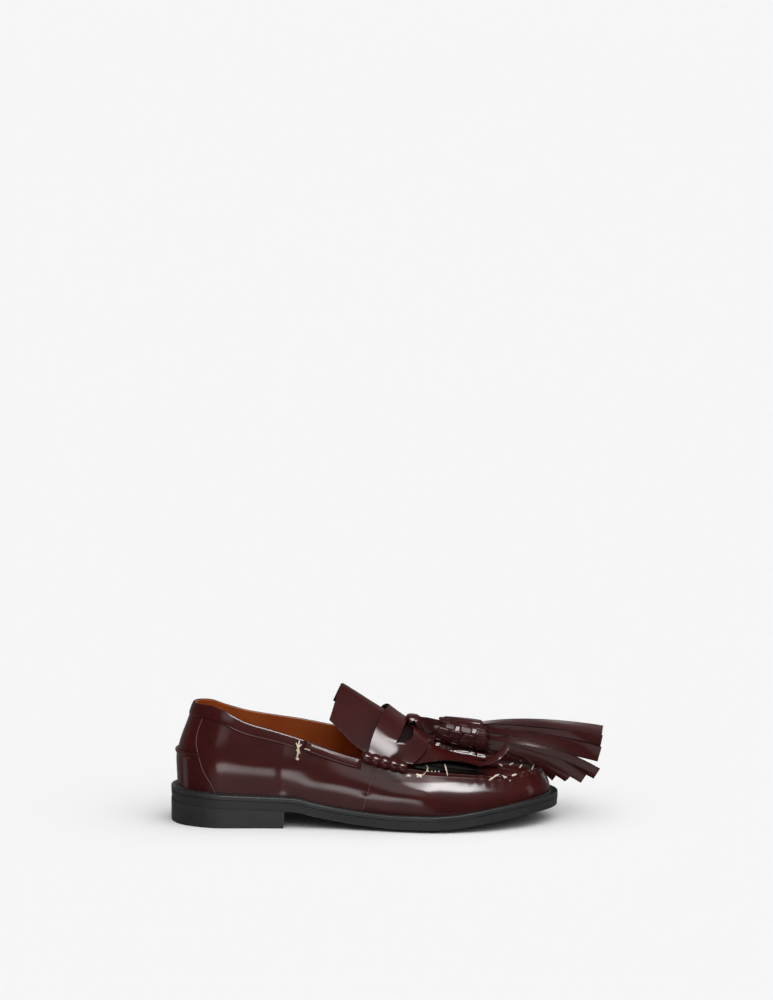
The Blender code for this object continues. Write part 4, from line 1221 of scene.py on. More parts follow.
def smooth_path(rows, count):
    """Smooth line through a few points, evenly spread by length."""
    rows = np.asarray(rows, dtype=float)
    run = np.concatenate(([0.0], np.cumsum(np.linalg.norm(np.diff(rows, axis=0), axis=1))))
    fine = np.linspace(0.0, run[-1], count)
    slope = np.gradient(rows, run, axis=0)
    i = np.clip(np.searchsorted(run, fine, side="right") - 1, 0, len(run) - 2)
    h = (run[i + 1] - run[i])[:, None]
    t = ((fine - run[i]) / h[:, 0])[:, None]
    start = (1 + 2 * t) * (1 - t) ** 2 * rows[i] + t * (1 - t) ** 2 * h * slope[i]
    final = t * t * (3 - 2 * t) * rows[i + 1] + t * t * (t - 1) * h * slope[i + 1]
    return start + final


line = smooth_path(LOOP, LOOP_ROWS)
middle = np.stack([line[:, 0], np.zeros(len(line)), line[:, 1]], axis=1)
along = np.gradient(middle, axis=0)
face = np.cross(along, ACROSS_SHOE)
face /= np.linalg.norm(face, axis=1, keepdims=True)
across = smooth_path(LOOP_SECTION[::-1], LOOP_COLUMNS)
strap = middle[:, None, :] + across[None, :, :1] * ACROSS_SHOE - across[None, :, 1:] * face[:, None, :]
loop = sheet_piece(
    "strap_loop", strap, strap - face[:, None, :] * LOOP_THICK,
    FINISH["tassel_polish"], rim_material=FINISH["cut_edge"])
settle(soften(loop, LOOP_ROUND), "tassel_leather", "tassel_loop")

# %% [markdown]
# ## Ribbons of leather
# A tassel's neck and strips are narrow ribbons. Leather dries a little cupped and twisted, so a ribbon
# takes a path, a width vector at each of its points and a cup. A curve with a flat bevel could carry the
# same section, but it could not change the cup on the way.
# %% Ribbons and joined pieces
RIBBON_COLUMNS = 9


def ribbon(name, path, width, thickness, cup):
    """Cupped ribbon along a path, its width vectors given at each point."""
    along = np.gradient(path, axis=0)
    face = np.cross(along, width)
    face /= np.linalg.norm(face, axis=1, keepdims=True)
    share = np.linspace(-0.5, 0.5, RIBBON_COLUMNS)
    bow = np.asarray(cup)[:, None] * (1.0 - (2.0 * share) ** 2)
    flat = path[:, None, :] + share[None, :, None] * width[:, None, :]
    sheet = flat + bow[..., None] * face[:, None, :]
    half = face[:, None, :] * thickness / 2.0
    return sheet_piece(
        name, sheet + half, sheet - half, FINISH["tassel_polish"], rim_material=FINISH["tassel_edge"])


def turned(vectors, axis, angle):
    """Vectors turned about an axis at each point."""
    axis = axis / np.linalg.norm(axis, axis=1, keepdims=True)
    cosine, sine = np.cos(angle)[:, None], np.sin(angle)[:, None]
    along = axis * (axis * vectors).sum(axis=1, keepdims=True)
    return along + (vectors - along) * cosine + np.cross(axis, vectors) * sine


def join_pieces(name, things):
    """One mesh from several that lie at the origin and share their materials' order."""
    form = bmesh.new()
    for thing in things:
        form.from_mesh(thing.data)
    mesh = bpy.data.meshes.new(name)
    form.to_mesh(mesh)
    form.free()
    for material in things[0].data.materials:
        mesh.materials.append(material)
    for thing in things:
        bpy.data.objects.remove(thing, do_unlink=True)
    joined = bpy.data.objects.new(name, mesh)
    bpy.context.collection.objects.link(joined)
    return joined


print("ribbons have", RIBBON_COLUMNS, "rows of points across")

# %% [markdown]
# ## Tassels
# Each tassel is a barrel, a neck that ties it to the strap and a bundle of broad strips. On the real shoe
# a wide piece of leather is slit and rolled up. Cloth physics could drop the strips into place, but the
# photo fixes where they hang, so every strip has its own bend, cup and turn in one table. The barrel's
# skin is sunk where the woven wrap lies.
# %% Sizes of the tassels
# name, node, side, y of the barrel, z at its start, z at its end, how much shorter
TASSELS = (
    ("tassel_bundle_near", "tassel_near", -1.0, -8.5, 68.5, 63.8, 0.0),
    ("tassel_bundle_far", "tassel_far", 1.0, 31.0, 59.4, 54.4, 8.0),
)
BARREL_X = (197.0, 229.5)
BARREL_RADII = (10.6, 12.2)
BARREL_SLANT = 0.35
# share of the radius left at the barrel's ends, power of the rounding there
BARREL_END = 0.88
BARREL_DOME = 0.18
BARREL_SIDES = 72
BARREL_ROWS = 25
# the woven wrap: depth under the skin, rows, first turn and step between rows, twist along the barrel
WRAP_DEPTH = 1.2
WRAP_ROWS = 9
WRAP_START = 0.42
WRAP_STEP = 0.48
WRAP_TWIST = 0.35
# turns over which the skin sinks to the wrap and comes up behind it
WRAP_EDGE = (-0.12, 0.02)
WRAP_END = 0.14
# x, share of the way out to the barrel, z over the barrel's start
NECK = ((182.0, 0.2, 2.4), (188.0, 0.45, 2.2), (195.0, 0.8, 1.4), (203.0, 1.0, 0.5))
NECK_WIDTH = 12.0
NECK_THICK = 2.4
NECK_CUP = 0.6
NECK_ROWS = 16
# root rise, middle x, out, rise, tip x, out, rise, tip width, tip lean, cup, turn
TASSEL_STRIPS = (
    (6.0, 262.0, 0.5, 12.5, 317.0, 0.0, 2.5, 11.5, -0.75, 0.45, 0.10),
    (5.0, 262.0, 3.5, 7.0, 316.0, 4.5, -4.5, 12.5, -0.1, -0.8, -0.60),
    (3.5, 262.0, 6.0, 1.5, 315.0, 7.0, -12.0, 11.5, 0.15, 0.5, 0.44),
    (0.0, 272.0, 5.0, -3.0, 313.0, 7.5, -26.5, 10.0, 0.4, -0.7, 0.10),
    (-4.0, 268.0, 4.0, -7.2, 304.0, 6.0, -30.0, 10.0, 0.3, 0.8, 0.15),
    (-7.0, 264.0, 1.5, -9.6, 292.5, 2.5, -30.5, 9.0, 0.4, -0.7, 0.10),
    (3.0, 262.0, -5.0, 4.5, 312.0, -6.5, -4.5, 12.0, 0.35, 0.8, -0.30),
    (-6.0, 264.0, -5.0, -9.0, 300.0, -7.0, -26.0, 11.0, -0.3, -0.8, 0.30),
)
STRIP_ROOT_X = 224.0
STRIP_ROOT_WIDTH = 9.0
# shares of a strip's way out and of its cup that it has at the root
STRIP_ROOT_OUT = 0.4
STRIP_ROOT_CUP = 0.2
STRIP_THICK = 1.5
STRIP_ROWS = 34
# radius of the tassels' edges, and how sharp an edge is rounded, in degrees
TASSEL_ROUND = 0.3
TASSEL_SHARP = 50.0
print("tassels:", len(TASSELS), "with", len(TASSEL_STRIPS), "strips each")

# %% [markdown]
# ## Building a tassel
# A strip bends over one control point from its root to its tip, and its width turns about that path on
# the way. The barrel is a grid of turns and shares along it. Both are plain functions of the tables, so
# the far tassel is made by the same lines as the near one.
# %% Barrels, necks and strips
def strip_path(row, side, middle_y, end_z, shorter):
    """Path and width vectors of one tassel strip."""
    root_rise, mid_x, mid_out, mid_rise, tip_x, tip_out, tip_rise, width, lean, _, turn = row
    t = np.linspace(0.0, 1.0, STRIP_ROWS)[:, None]
    root = np.array([STRIP_ROOT_X, middle_y + side * STRIP_ROOT_OUT * mid_out, end_z + root_rise])
    bend = np.array([mid_x, middle_y + side * mid_out, end_z + mid_rise])
    tip = np.array([tip_x - shorter, middle_y + side * tip_out, end_z + tip_rise])
    path = (1 - t) ** 2 * root + 2 * t * (1 - t) * bend + t ** 2 * tip
    spread = STRIP_ROOT_WIDTH + (width - STRIP_ROOT_WIDTH) * t
    tilt = np.array([0.0, lean * side, 1.0]) / math.hypot(1.0, lean)
    swing = turn * np.sin(math.pi * t[:, 0]) * side
    along = np.gradient(path, axis=0)
    along /= np.linalg.norm(along, axis=1, keepdims=True)
    across = turned(spread * tilt, along, swing)
    square = across - along * (along * across).sum(axis=1, keepdims=True) * t ** 2
    return path, square * spread / np.linalg.norm(square, axis=1, keepdims=True)


def barrel_point(share, turn, depth, middle_y, start_z, end_z):
    """Point of a barrel: share along it, turn round it from the top, depth under its skin."""
    share, turn = np.broadcast_arrays(share, turn)
    dome = BARREL_END + (1.0 - BARREL_END) * np.clip(np.sin(math.pi * share), 0.0, 1.0) ** BARREL_DOME
    radius = (BARREL_RADII[0] + (BARREL_RADII[1] - BARREL_RADII[0]) * share) * dome - depth
    rise = radius * np.cos(turn)
    x = BARREL_X[0] + (BARREL_X[1] - BARREL_X[0]) * share + BARREL_SLANT * (1.0 - share) * rise
    z = start_z + (end_z - start_z) * share + rise
    return np.stack([x, middle_y - radius * np.sin(turn), z], axis=-1)


def tassel_pieces(name, side, middle_y, start_z, end_z, shorter):
    """Barrel core, neck and strips of one tassel."""
    rounds = np.linspace(0.0, 2.0 * math.pi, BARREL_SIDES, endpoint=False)
    share = np.linspace(0.0, 1.0, BARREL_ROWS)[:, None]
    round_way = np.mod(-side * rounds, 2.0 * math.pi)[None, :]
    from_band = round_way - WRAP_START - WRAP_TWIST * share + WRAP_STEP / 2.0
    band_width = WRAP_STEP * WRAP_ROWS
    past_band = ease(from_band, band_width, band_width + WRAP_END)
    sunk = ease(from_band, *WRAP_EDGE) * (1.0 - past_band)
    skin_points = barrel_point(share, rounds, WRAP_DEPTH * sunk, middle_y, start_z, end_z)
    faces = tube_mesh(skin_points[:, 0], np.ones(BARREL_ROWS), BARREL_SIDES)[1]
    materials = [FINISH["tassel_polish"], FINISH["tassel_edge"]]
    things = [add_piece(name + "_core", skin_points.reshape(-1, 3), faces, materials)]
    neck = smooth_path([(x, middle_y * out, start_z + rise) for x, out, rise in NECK], NECK_ROWS)
    upright = np.tile([0.0, 0.0, NECK_WIDTH], (NECK_ROWS, 1))
    things.append(ribbon(name + "_neck", neck, upright, NECK_THICK, np.full(NECK_ROWS, NECK_CUP)))
    for row in TASSEL_STRIPS:
        path, width = strip_path(row, side, middle_y, end_z, shorter)
        tip_cup = row[-2]
        cup = tip_cup * np.linspace(STRIP_ROOT_CUP, 1.0, STRIP_ROWS) * side
        things.append(ribbon(name + "_strip", path, width, STRIP_THICK, cup))
    return things


for name, node, *sizes in TASSELS:
    bundle = join_pieces(name, tassel_pieces(name, *sizes))
    settle(soften(bundle, TASSEL_ROUND, limit=TASSEL_SHARP), "tassel_leather", node)

# %% [markdown]
# ## Rows made by Geometry Nodes
# Stitches, the wheel marks on the welt and the woven cells of the barrels are one small shape repeated
# along a line. Copies could be placed one by one, but a Geometry Nodes tree does it in one go and its
# sizes stay inputs. Two helpers come first: one makes an empty tree, one sets an input of its modifier by
# the socket's identifier.
# %% Helpers for geometry trees
def new_tree(name, inputs):
    """Empty geometry tree with named inputs."""
    tree = bpy.data.node_groups.new(name, "GeometryNodeTree")
    tree.interface.new_socket("Geometry", in_out="INPUT", socket_type="NodeSocketGeometry")
    for socket, kind, value in inputs:
        made = tree.interface.new_socket(socket, in_out="INPUT", socket_type=kind)
        if value is not None:
            made.default_value = value
    tree.interface.new_socket("Geometry", in_out="OUTPUT", socket_type="NodeSocketGeometry")
    return tree, tree.nodes.new("NodeGroupInput"), tree.nodes.new("NodeGroupOutput")


def set_input(modifier, name, value):
    """Set a tree's input by the identifier of its socket."""
    for item in modifier.node_group.interface.items_tree:
        if item.item_type == "SOCKET" and item.in_out == "INPUT" and item.name == name:
            modifier[item.identifier] = value


print("helpers ready for Blender", bpy.app.version_string)

# %% [markdown]
# ## A pad at every point
# A stitch, a wheel mark and a woven cell are all small pillows: a cube that is subdivided, with an edge
# crease that says how square it stays. Each gets a slightly different size from a fixed seed, because
# hand work is never quite even. The chain ends by realizing the copies and giving them their material.
# %% Pads on points
PAD_VARY = (0.94, 1.06)


def pad_chain(tree, given, result, points, rotation):
    """Rounded pads on points, varied by a seed, realized and given a material."""
    link = tree.links.new
    cube = tree.nodes.new("GeometryNodeMeshCube")
    smooth = tree.nodes.new("GeometryNodeSubdivisionSurface")
    smooth.inputs["Level"].default_value = 2
    link(cube.outputs["Mesh"], smooth.inputs["Mesh"])
    link(given.outputs["Squareness"], smooth.inputs["Edge Crease"])
    size = tree.nodes.new("ShaderNodeCombineXYZ")
    for axis, name in (("X", "Length"), ("Y", "Width"), ("Z", "Height")):
        link(given.outputs[name], size.inputs[axis])
    vary = tree.nodes.new("FunctionNodeRandomValue")
    vary.inputs[2].default_value = PAD_VARY[0]
    vary.inputs[3].default_value = PAD_VARY[1]
    link(given.outputs["Seed"], vary.inputs["Seed"])
    scale = tree.nodes.new("ShaderNodeVectorMath")
    scale.operation = "SCALE"
    link(size.outputs["Vector"], scale.inputs[0])
    link(vary.outputs[1], scale.inputs["Scale"])
    place = tree.nodes.new("GeometryNodeInstanceOnPoints")
    link(points, place.inputs["Points"])
    link(smooth.outputs["Mesh"], place.inputs["Instance"])
    link(rotation, place.inputs["Rotation"])
    link(scale.outputs["Vector"], place.inputs["Scale"])
    real = tree.nodes.new("GeometryNodeRealizeInstances")
    link(place.outputs["Instances"], real.inputs["Geometry"])
    shade = tree.nodes.new("GeometryNodeSetShadeSmooth")
    link(real.outputs["Geometry"], shade.inputs["Geometry"])
    paint = tree.nodes.new("GeometryNodeSetMaterial")
    link(shade.outputs["Geometry"], paint.inputs["Geometry"])
    link(given.outputs["Material"], paint.inputs["Material"])
    link(paint.outputs["Geometry"], result.inputs["Geometry"])


print("pads vary in size from", PAD_VARY[0], "to", PAD_VARY[1])

# %% [markdown]
# ## Points along a drawn line
# The tree turns a drawn line into a curve and sets points on it at an even spacing. Each pad follows the
# line and stands up from the leather: its upright is the way from an axis to the point, so rows round a
# barrel all face outwards.
# %% Tree for rows of pads
PAD_INPUTS = (
    ("Length", "NodeSocketFloat", 0.002), ("Width", "NodeSocketFloat", 0.001),
    ("Height", "NodeSocketFloat", 0.001), ("Squareness", "NodeSocketFloat", 0.0),
    ("Seed", "NodeSocketInt", 7), ("Material", "NodeSocketMaterial", None),
)
ROW_INPUTS = (
    ("Spacing", "NodeSocketFloat", 0.003), ("Axis Point", "NodeSocketVector", (0.0, 0.0, -100.0)),
    ("Axis Direction", "NodeSocketVector", (1.0, 0.0, 0.0)),
)
ROW_TREE, row_in, row_out = new_tree("row_of_pads", ROW_INPUTS + PAD_INPUTS)
nodes, link = ROW_TREE.nodes, ROW_TREE.links.new
to_curve = nodes.new("GeometryNodeMeshToCurve")
to_points = nodes.new("GeometryNodeCurveToPoints")
to_points.mode = "LENGTH"
link(row_in.outputs["Geometry"], to_curve.inputs["Mesh"])
link(to_curve.outputs["Curve"], to_points.inputs["Curve"])
link(row_in.outputs["Spacing"], to_points.inputs["Length"])
follow = nodes.new("FunctionNodeAlignRotationToVector")
follow.axis = "X"
link(to_points.outputs["Tangent"], follow.inputs["Vector"])
# outward = the point's offset from the axis, less its part along the axis
place = nodes.new("GeometryNodeInputPosition")
offset, along_axis, outward_way = (nodes.new("ShaderNodeVectorMath") for _ in range(3))
offset.operation, along_axis.operation, outward_way.operation = "SUBTRACT", "PROJECT", "SUBTRACT"
link(place.outputs["Position"], offset.inputs[0])
link(row_in.outputs["Axis Point"], offset.inputs[1])
link(offset.outputs["Vector"], along_axis.inputs[0])
link(row_in.outputs["Axis Direction"], along_axis.inputs[1])
link(offset.outputs["Vector"], outward_way.inputs[0])
link(along_axis.outputs["Vector"], outward_way.inputs[1])
stand = nodes.new("FunctionNodeAlignRotationToVector")
stand.axis, stand.pivot_axis = "Z", "X"
link(follow.outputs["Rotation"], stand.inputs["Rotation"])
link(outward_way.outputs["Vector"], stand.inputs["Vector"])
pad_chain(ROW_TREE, row_in, row_out, to_points.outputs["Points"], stand.outputs["Rotation"])


def pad_row(name, paths, spacing, length, width, height, material, square=0.0, closed=False, axis=None):
    """Rows of pads along one or more paths of points, sizes in millimetres."""
    paths = paths if isinstance(paths, list) else [paths]
    mesh = bpy.data.meshes.new(name)
    points, edges = [], []
    for path in paths:
        first, final = len(points), len(points) + len(path) - 1
        edges += [(i, i + 1) for i in range(first, final)] + ([(final, first)] if closed else [])
        points += to_row(path).tolist()
    mesh.from_pydata(points, edges, [])
    thing = bpy.data.objects.new(name, mesh)
    bpy.context.collection.objects.link(thing)
    rows = thing.modifiers.new("row", "NODES")
    rows.node_group = ROW_TREE
    sizes = (("Spacing", spacing), ("Length", length), ("Width", width), ("Height", height))
    for socket, value in sizes:
        set_input(rows, socket, value * MM)
    set_input(rows, "Squareness", square)
    set_input(rows, "Material", material)
    if axis is not None:
        start, end = to_row(np.array(axis, dtype=float))
        set_input(rows, "Axis Point", start.tolist())
        set_input(rows, "Axis Direction", (end - start).tolist())
    return make_plain(thing)


print("tree:", ROW_TREE.name, "with", len(ROW_TREE.nodes), "nodes")

# %% [markdown]
# ## The woven wrap
# A narrow lace is woven round each barrel, so that long cells lie in rows like bricks. Weaving it as a
# lace would hide most of the lace. Only the cells that show are made, as rows of pads on the sunken skin
# of the barrel, with every other row moved on by half a cell.
# %% Woven wrap of the barrels
WRAP_CELL = 9.4
WRAP_LINE = 0.2
# width, height and squareness of a cell
WRAP_WIDTH = 5.3
WRAP_HEIGHT = 1.3
WRAP_SQUARE = 0.72
# shares along the barrel where the rows start and end, and how much later every other row starts
WRAP_REACH = (0.08, 0.96)
WRAP_SHIFT = 0.13
WRAP_POINTS = 30

for name, _, side, middle_y, start_z, end_z, _ in TASSELS:
    rows = []
    for n in range(WRAP_ROWS):
        half_cell = WRAP_SHIFT * (n % 2)
        share = np.linspace(WRAP_REACH[0] + half_cell, WRAP_REACH[1], WRAP_POINTS)
        turn = -side * (WRAP_START + WRAP_STEP * n + WRAP_TWIST * share)
        rows.append(barrel_point(share, turn, WRAP_DEPTH, middle_y, start_z, end_z))
    axis = ((BARREL_X[0], middle_y, start_z), (BARREL_X[1], middle_y, end_z))
    wrap = pad_row(
        name.replace("bundle", "wrap"), rows, WRAP_CELL, WRAP_CELL - WRAP_LINE, WRAP_WIDTH, WRAP_HEIGHT,
        FINISH["wrap_polish"], WRAP_SQUARE, axis=axis)
    settle(wrap, "tassel_leather")

# %% [markdown]
# ## Wheel marks on the welt
# A shoemaker runs a hot toothed wheel round the welt, which presses a row of ribs into it. A bump texture
# would shine but leave the edge smooth against the light, so the ribs are real pads along a line just
# outside the upper.
# %% Wheel marks
WHEEL_PITCH = 2.1
# length, width and height of a mark
WHEEL_MARK = (1.3, 1.9, 1.1)
WHEEL_SQUARE = 0.3
# distance of the marks from the upper, and of their middle from the welt's top
WHEEL_OFF = 0.9
WHEEL_RISE = 0.25
WHEEL_POINTS = 500

wheel_rings = np.linspace(0.0, 2.0, WHEEL_POINTS, endpoint=False)
wheel_depth = table(MARGIN, 1, outline(wheel_rings)[:, 0]) - WHEEL_OFF
wheel_plan = inset(wheel_rings, wheel_depth)
wheel_height = sole_height(wheel_plan[:, 0], wheel_depth, WELT_TOP + WHEEL_RISE)
wheel_path = np.column_stack([wheel_plan, wheel_height])
marks = pad_row(
    "welt_wheel_marks", wheel_path, WHEEL_PITCH, *WHEEL_MARK,
    FINISH["welt_black"], WHEEL_SQUARE, closed=True)
settle(marks, "welt_leather")

# %% [markdown]
# ## Sewn seams
# The counter and the vamp are sewn on by machine with a thin thread. Its stitches are pads again, along
# lines that are drawn as seen from the side and then laid onto the last at their own height.
# %% Seam stitches
# x, z of the counter's stitched front seam, from the binding down
COUNTER_SEAM = (
    (23.9, 78.1), (20.3, 67.8), (19.6, 60.5), (21.5, 51.5), (23.9, 43.1), (29.0, 33.9), (33.5, 25.7),
)
# x, z of the stitches along the counter's upper end
BACK_STEP = ((3.2, 52.2), (6.0, 52.0), (10.0, 51.0), (14.8, 49.6))
# z where the vamp's stitches start and end, and how far in front of its edge they lie
VAMP_REACH = (46.5, 14.5)
VAMP_OFF = 1.1
# pitch, length and thickness of the stitches, and their height over the last
COUNTER_THREAD = (1.5, 1.7, 0.42, 0.45)
VAMP_THREAD = (2.0, 1.5, 0.4, VAMP_STEP + 0.05)
STEP_THREAD = (1.9, 1.5, 0.42, 0.75)
# rounds of the search for a place, and how near to the sole's ends it may go
SEARCH_ROUNDS = 8
END_CLEAR = 0.3
# points along each seam
COUNTER_POINTS = 60
VAMP_POINTS = 40
STEP_POINTS = 24


def on_side(x, z, offset, side):
    """Point on the last's side at x and height z. side -1 is the outer side."""
    x, z = np.asarray(x, dtype=float), np.asarray(z, dtype=float)
    aim = x
    for _ in range(SEARCH_ROUNDS):
        ring = rings_at(np.clip(aim, END_CLEAR, SOLE_LENGTH - END_CLEAR))
        ring = ring if side < 0 else 2.0 - ring
        angle = angle_at(ring, z)
        aim = aim + x - last(ring, angle)[..., 0]
    return skin(ring, angle, offset)


def stitch_row(name, x, z, side, thread):
    """Machine stitches along a seam on one side of the shoe."""
    pitch, length, thick, offset = thread
    path = on_side(x, z, offset, side)
    settle(pad_row(name, path, pitch, length, thick, thick, FINISH["seam_thread"]), None)


counter_x, counter_z = smooth_path(COUNTER_SEAM, COUNTER_POINTS).T
vamp_z = np.linspace(*VAMP_REACH, VAMP_POINTS)
vamp_x = table(VAMP_SEAM, 1, vamp_z) + VAMP_OFF
step_x, step_z = smooth_path(BACK_STEP, STEP_POINTS).T
for name, side in (("near", -1.0), ("far", 1.0)):
    stitch_row("counter_stitches_" + name, counter_x, counter_z, side, COUNTER_THREAD)
    stitch_row("vamp_stitches_" + name, vamp_x, vamp_z, side, VAMP_THREAD)
    stitch_row("step_stitches_" + name, step_x, step_z, side, STEP_THREAD)

# %% [markdown]
# ## Hand stitches
# The cream thread is what a shoemaker sews by hand: a bar tack where the collar strip starts, knots
# beside the rolled end and long loose stitches across the toe. Each stitch is a thin bar that bows off
# the leather and thins out where it enters it.
# %% Cream thread
# x, y, z of one end, x, y, z of the other end, radius, bow
HAND_STITCHES = (
    (95.0, -25.8, 64.5, 93.4, -29.8, 51.4, 0.70, 0.5),
    (92.6, -26.2, 63.0, 95.4, -29.0, 55.0, 0.55, 0.6),
    (96.8, -26.6, 61.8, 92.6, -28.4, 57.0, 0.55, 0.6),
    (92.4, -29.6, 51.8, 94.6, -29.8, 51.0, 1.00, 0.2),
    (98.5, -28.2, 58.8, 103.0, -28.8, 57.6, 0.40, 0.2),
    (172.7, -37.6, 40.8, 176.4, -37.9, 40.6, 0.95, 0.3),
    (180.2, -37.8, 42.0, 184.6, -38.2, 39.6, 0.95, 0.4),
    (180.6, -38.2, 39.8, 184.8, -37.8, 41.4, 0.80, 0.5),
    (188.6, -37.2, 44.0, 189.8, -37.2, 43.9, 0.50, 0.1),
    (191.2, -37.2, 43.9, 192.2, -37.2, 43.8, 0.50, 0.1),
    (193.8, -37.2, 43.8, 194.8, -37.2, 43.8, 0.50, 0.1),
    (196.4, -37.2, 43.8, 197.4, -37.2, 43.8, 0.50, 0.1),
    (201.0, -32.2, 48.6, 203.3, -37.4, 40.6, 0.60, 1.2),
    (233.6, -32.6, 36.0, 241.2, -26.8, 39.2, 0.75, 0.8),
    (242.0, -28.2, 37.6, 246.8, -27.0, 37.0, 0.70, 0.5),
    (243.0, -27.4, 38.6, 245.6, -28.0, 36.4, 0.60, 0.5),
    (248.2, -25.8, 36.8, 255.2, -20.8, 37.8, 0.75, 0.9),
    (248.6, -27.2, 34.6, 249.6, -26.8, 34.4, 0.50, 0.2),
    (240.8, -19.4, 45.0, 243.7, -19.2, 43.6, 0.60, 0.6),
    (248.2, -13.6, 42.2, 251.8, -9.8, 43.8, 0.60, 0.6),
    (257.0, -0.6, 43.0, 260.3, 3.6, 44.4, 0.60, 0.8),
    (256.3, -13.4, 40.6, 258.5, -8.4, 42.4, 0.60, 0.6),
    (265.3, -9.8, 37.9, 266.0, -8.0, 38.6, 0.85, 0.4),
    (265.5, -9.4, 38.0, 267.8, -0.4, 42.2, 0.55, 0.8),
    (270.3, 4.6, 39.6, 273.9, 7.6, 40.4, 0.60, 0.6),
)
# x, y, z along the loose thread that loops back from the knot
LOOSE_THREAD = (
    (184.8, -38.0, 41.0), (188.2, -37.2, 44.4), (188.5, -33.6, 46.8), (185.6, -30.6, 47.6),
    (181.2, -30.2, 47.6),
)
LOOSE_RADIUS = 0.5
LOOSE_POINTS = 24
STITCH_POINTS = 9
THREAD_SIDES = 8
# share of the radius at a thread's ends
THREAD_TIP = 0.5
BOW_WAY = np.array([0.0, -0.6, 0.8])


def thread_piece(name, path, radius):
    """Thin bar that narrows to both ends."""
    share = np.linspace(0.0, 1.0, len(path))
    thicker = np.sqrt(np.clip(np.sin(math.pi * share), 0.0, 1.0))
    radii = radius * (THREAD_TIP + (1.0 - THREAD_TIP) * thicker)
    points, faces = tube_mesh(path, radii, THREAD_SIDES)
    return add_piece(name, points, faces, [FINISH["cream_thread"]])


threads = [thread_piece("loose_thread", smooth_path(LOOSE_THREAD, LOOSE_POINTS), LOOSE_RADIUS)]
for *ends, radius, bow in HAND_STITCHES:
    share = np.linspace(0.0, 1.0, STITCH_POINTS)[:, None]
    start, end = np.array(ends[:3]), np.array(ends[3:])
    path = start + (end - start) * share + BOW_WAY * bow * np.sin(math.pi * share)
    threads.append(thread_piece("stitch", path, radius))
count = len(threads)
settle(join_pieces("hand_stitches", threads), None)
print("hand stitches:", count)

# %% [markdown]
# ## Studio floor
# The shoe stands on a plain pale floor. A curved backdrop is usual in a studio, but from a little above
# only the floor shows, so one large flat sheet is enough. The leather does not mirror it, because the
# soft boxes below the shoe stand in for it.
# %% Floor
FLOOR_SIZE = 60.0
FLOOR_COLOUR = (0.92, 0.92, 0.92)
MATT = 0.9


def stage_sheet(name, points, faces, material):
    """Flat piece of the studio."""
    mesh = bpy.data.meshes.new(name)
    mesh.from_pydata(points, [], faces)
    mesh.materials.append(material)
    thing = bpy.data.objects.new(name, mesh)
    bpy.context.collection.objects.link(thing)
    return thing


def plain_material(name, colour, glow):
    """Matt studio material that may glow."""
    material = bpy.data.materials.new(name)
    material.use_nodes = True
    shader = material.node_tree.nodes["Principled BSDF"]
    shader.inputs["Base Color"].default_value = (*colour, 1.0)
    shader.inputs["Roughness"].default_value = MATT
    shader.inputs["Specular IOR Level"].default_value = 0.0
    shader.inputs["Emission Color"].default_value = (1.0, 1.0, 1.0, 1.0)
    shader.inputs["Emission Strength"].default_value = glow
    return material


half_floor = FLOOR_SIZE / 2.0
floor = stage_sheet(
    "floor",
    [(-half_floor, -half_floor, 0.0), (half_floor, -half_floor, 0.0),
     (half_floor, half_floor, 0.0), (-half_floor, half_floor, 0.0)],
    [(0, 1, 2, 3)], plain_material("pale_floor", FLOOR_COLOUR, 0.0),
)
floor.visible_glossy = False
print("floor:", FLOOR_SIZE, "m wide")

# %% [markdown]
# ## Soft boxes
# Polished leather shows what it mirrors, so each soft box is placed where the highlight it makes on the
# leather should be. Lamps could do it, but their mirror image has a hard edge. A glowing card whose light
# fades towards its rim gives the soft streaks of a studio, and only the leather's mirror sees it.
# %% Soft boxes
# the middle of the shoe, which the cards and the camera face, in metres
AIM = (0.1167, 0.0, 0.0462)
CARD_CELLS = 16
CARD_FADE = 3
# name, azimuth, rise, distance, width, height, lean, glow
REFLECTORS = (
    ("vamp_card", 13.4, 34.8, 1.2, 1.165, 0.19, 10.0, 40.0),
    ("saddle_card", 4.0, 49.5, 1.2, 0.62, 0.58, 0.0, 26.0),
    ("side_card", -20.0, 20.0, 1.2, 0.60, 0.40, 0.0, 1.8),
    ("side_fill", -20.0, -14.0, 0.9, 0.80, 0.25, 0.0, 0.7),
    ("quarter_card", -21.7, -6.1, 0.465, 0.230, 0.075, 0.0, 7.5),
    ("crown_card", 180.0, 38.0, 1.2, 0.70, 0.35, 0.0, 2.2),
    ("strip_fill", -5.0, -42.0, 0.9, 0.80, 0.80, 0.0, 1.2),
    ("toe_card", 84.0, 10.0, 0.9, 0.25, 0.60, 0.0, 1.5),
    ("toe_rim", 140.0, 10.0, 0.9, 0.50, 0.50, 0.0, 1.5),
    ("heel_fill", -92.0, -12.0, 0.9, 0.50, 0.40, 0.0, 0.9),
)


def card_grid(azimuth, rise, distance, width, height, lean):
    """Points of a card that faces the shoe, and how bright each is. Azimuth 0 is the camera's side."""
    turn, lift = math.radians(azimuth), math.radians(rise)
    away = np.array([math.sin(turn) * math.cos(lift), -math.cos(turn) * math.cos(lift), math.sin(lift)])
    middle = np.array(AIM) + away * distance
    level = np.array([math.cos(turn), math.sin(turn), 0.0])
    upright = np.cross(level, away)
    tilt = math.radians(lean)
    right = (level * math.cos(tilt) - upright * math.sin(tilt)) * width / 2.0
    up = (upright * math.cos(tilt) + level * math.sin(tilt)) * height / 2.0
    share = np.linspace(-1.0, 1.0, CARD_CELLS + 1)
    points = middle + share[:, None, None] * right + share[None, :, None] * up
    dim = 1.0 - np.abs(share) ** CARD_FADE
    return points, dim[:, None] * dim[None, :]


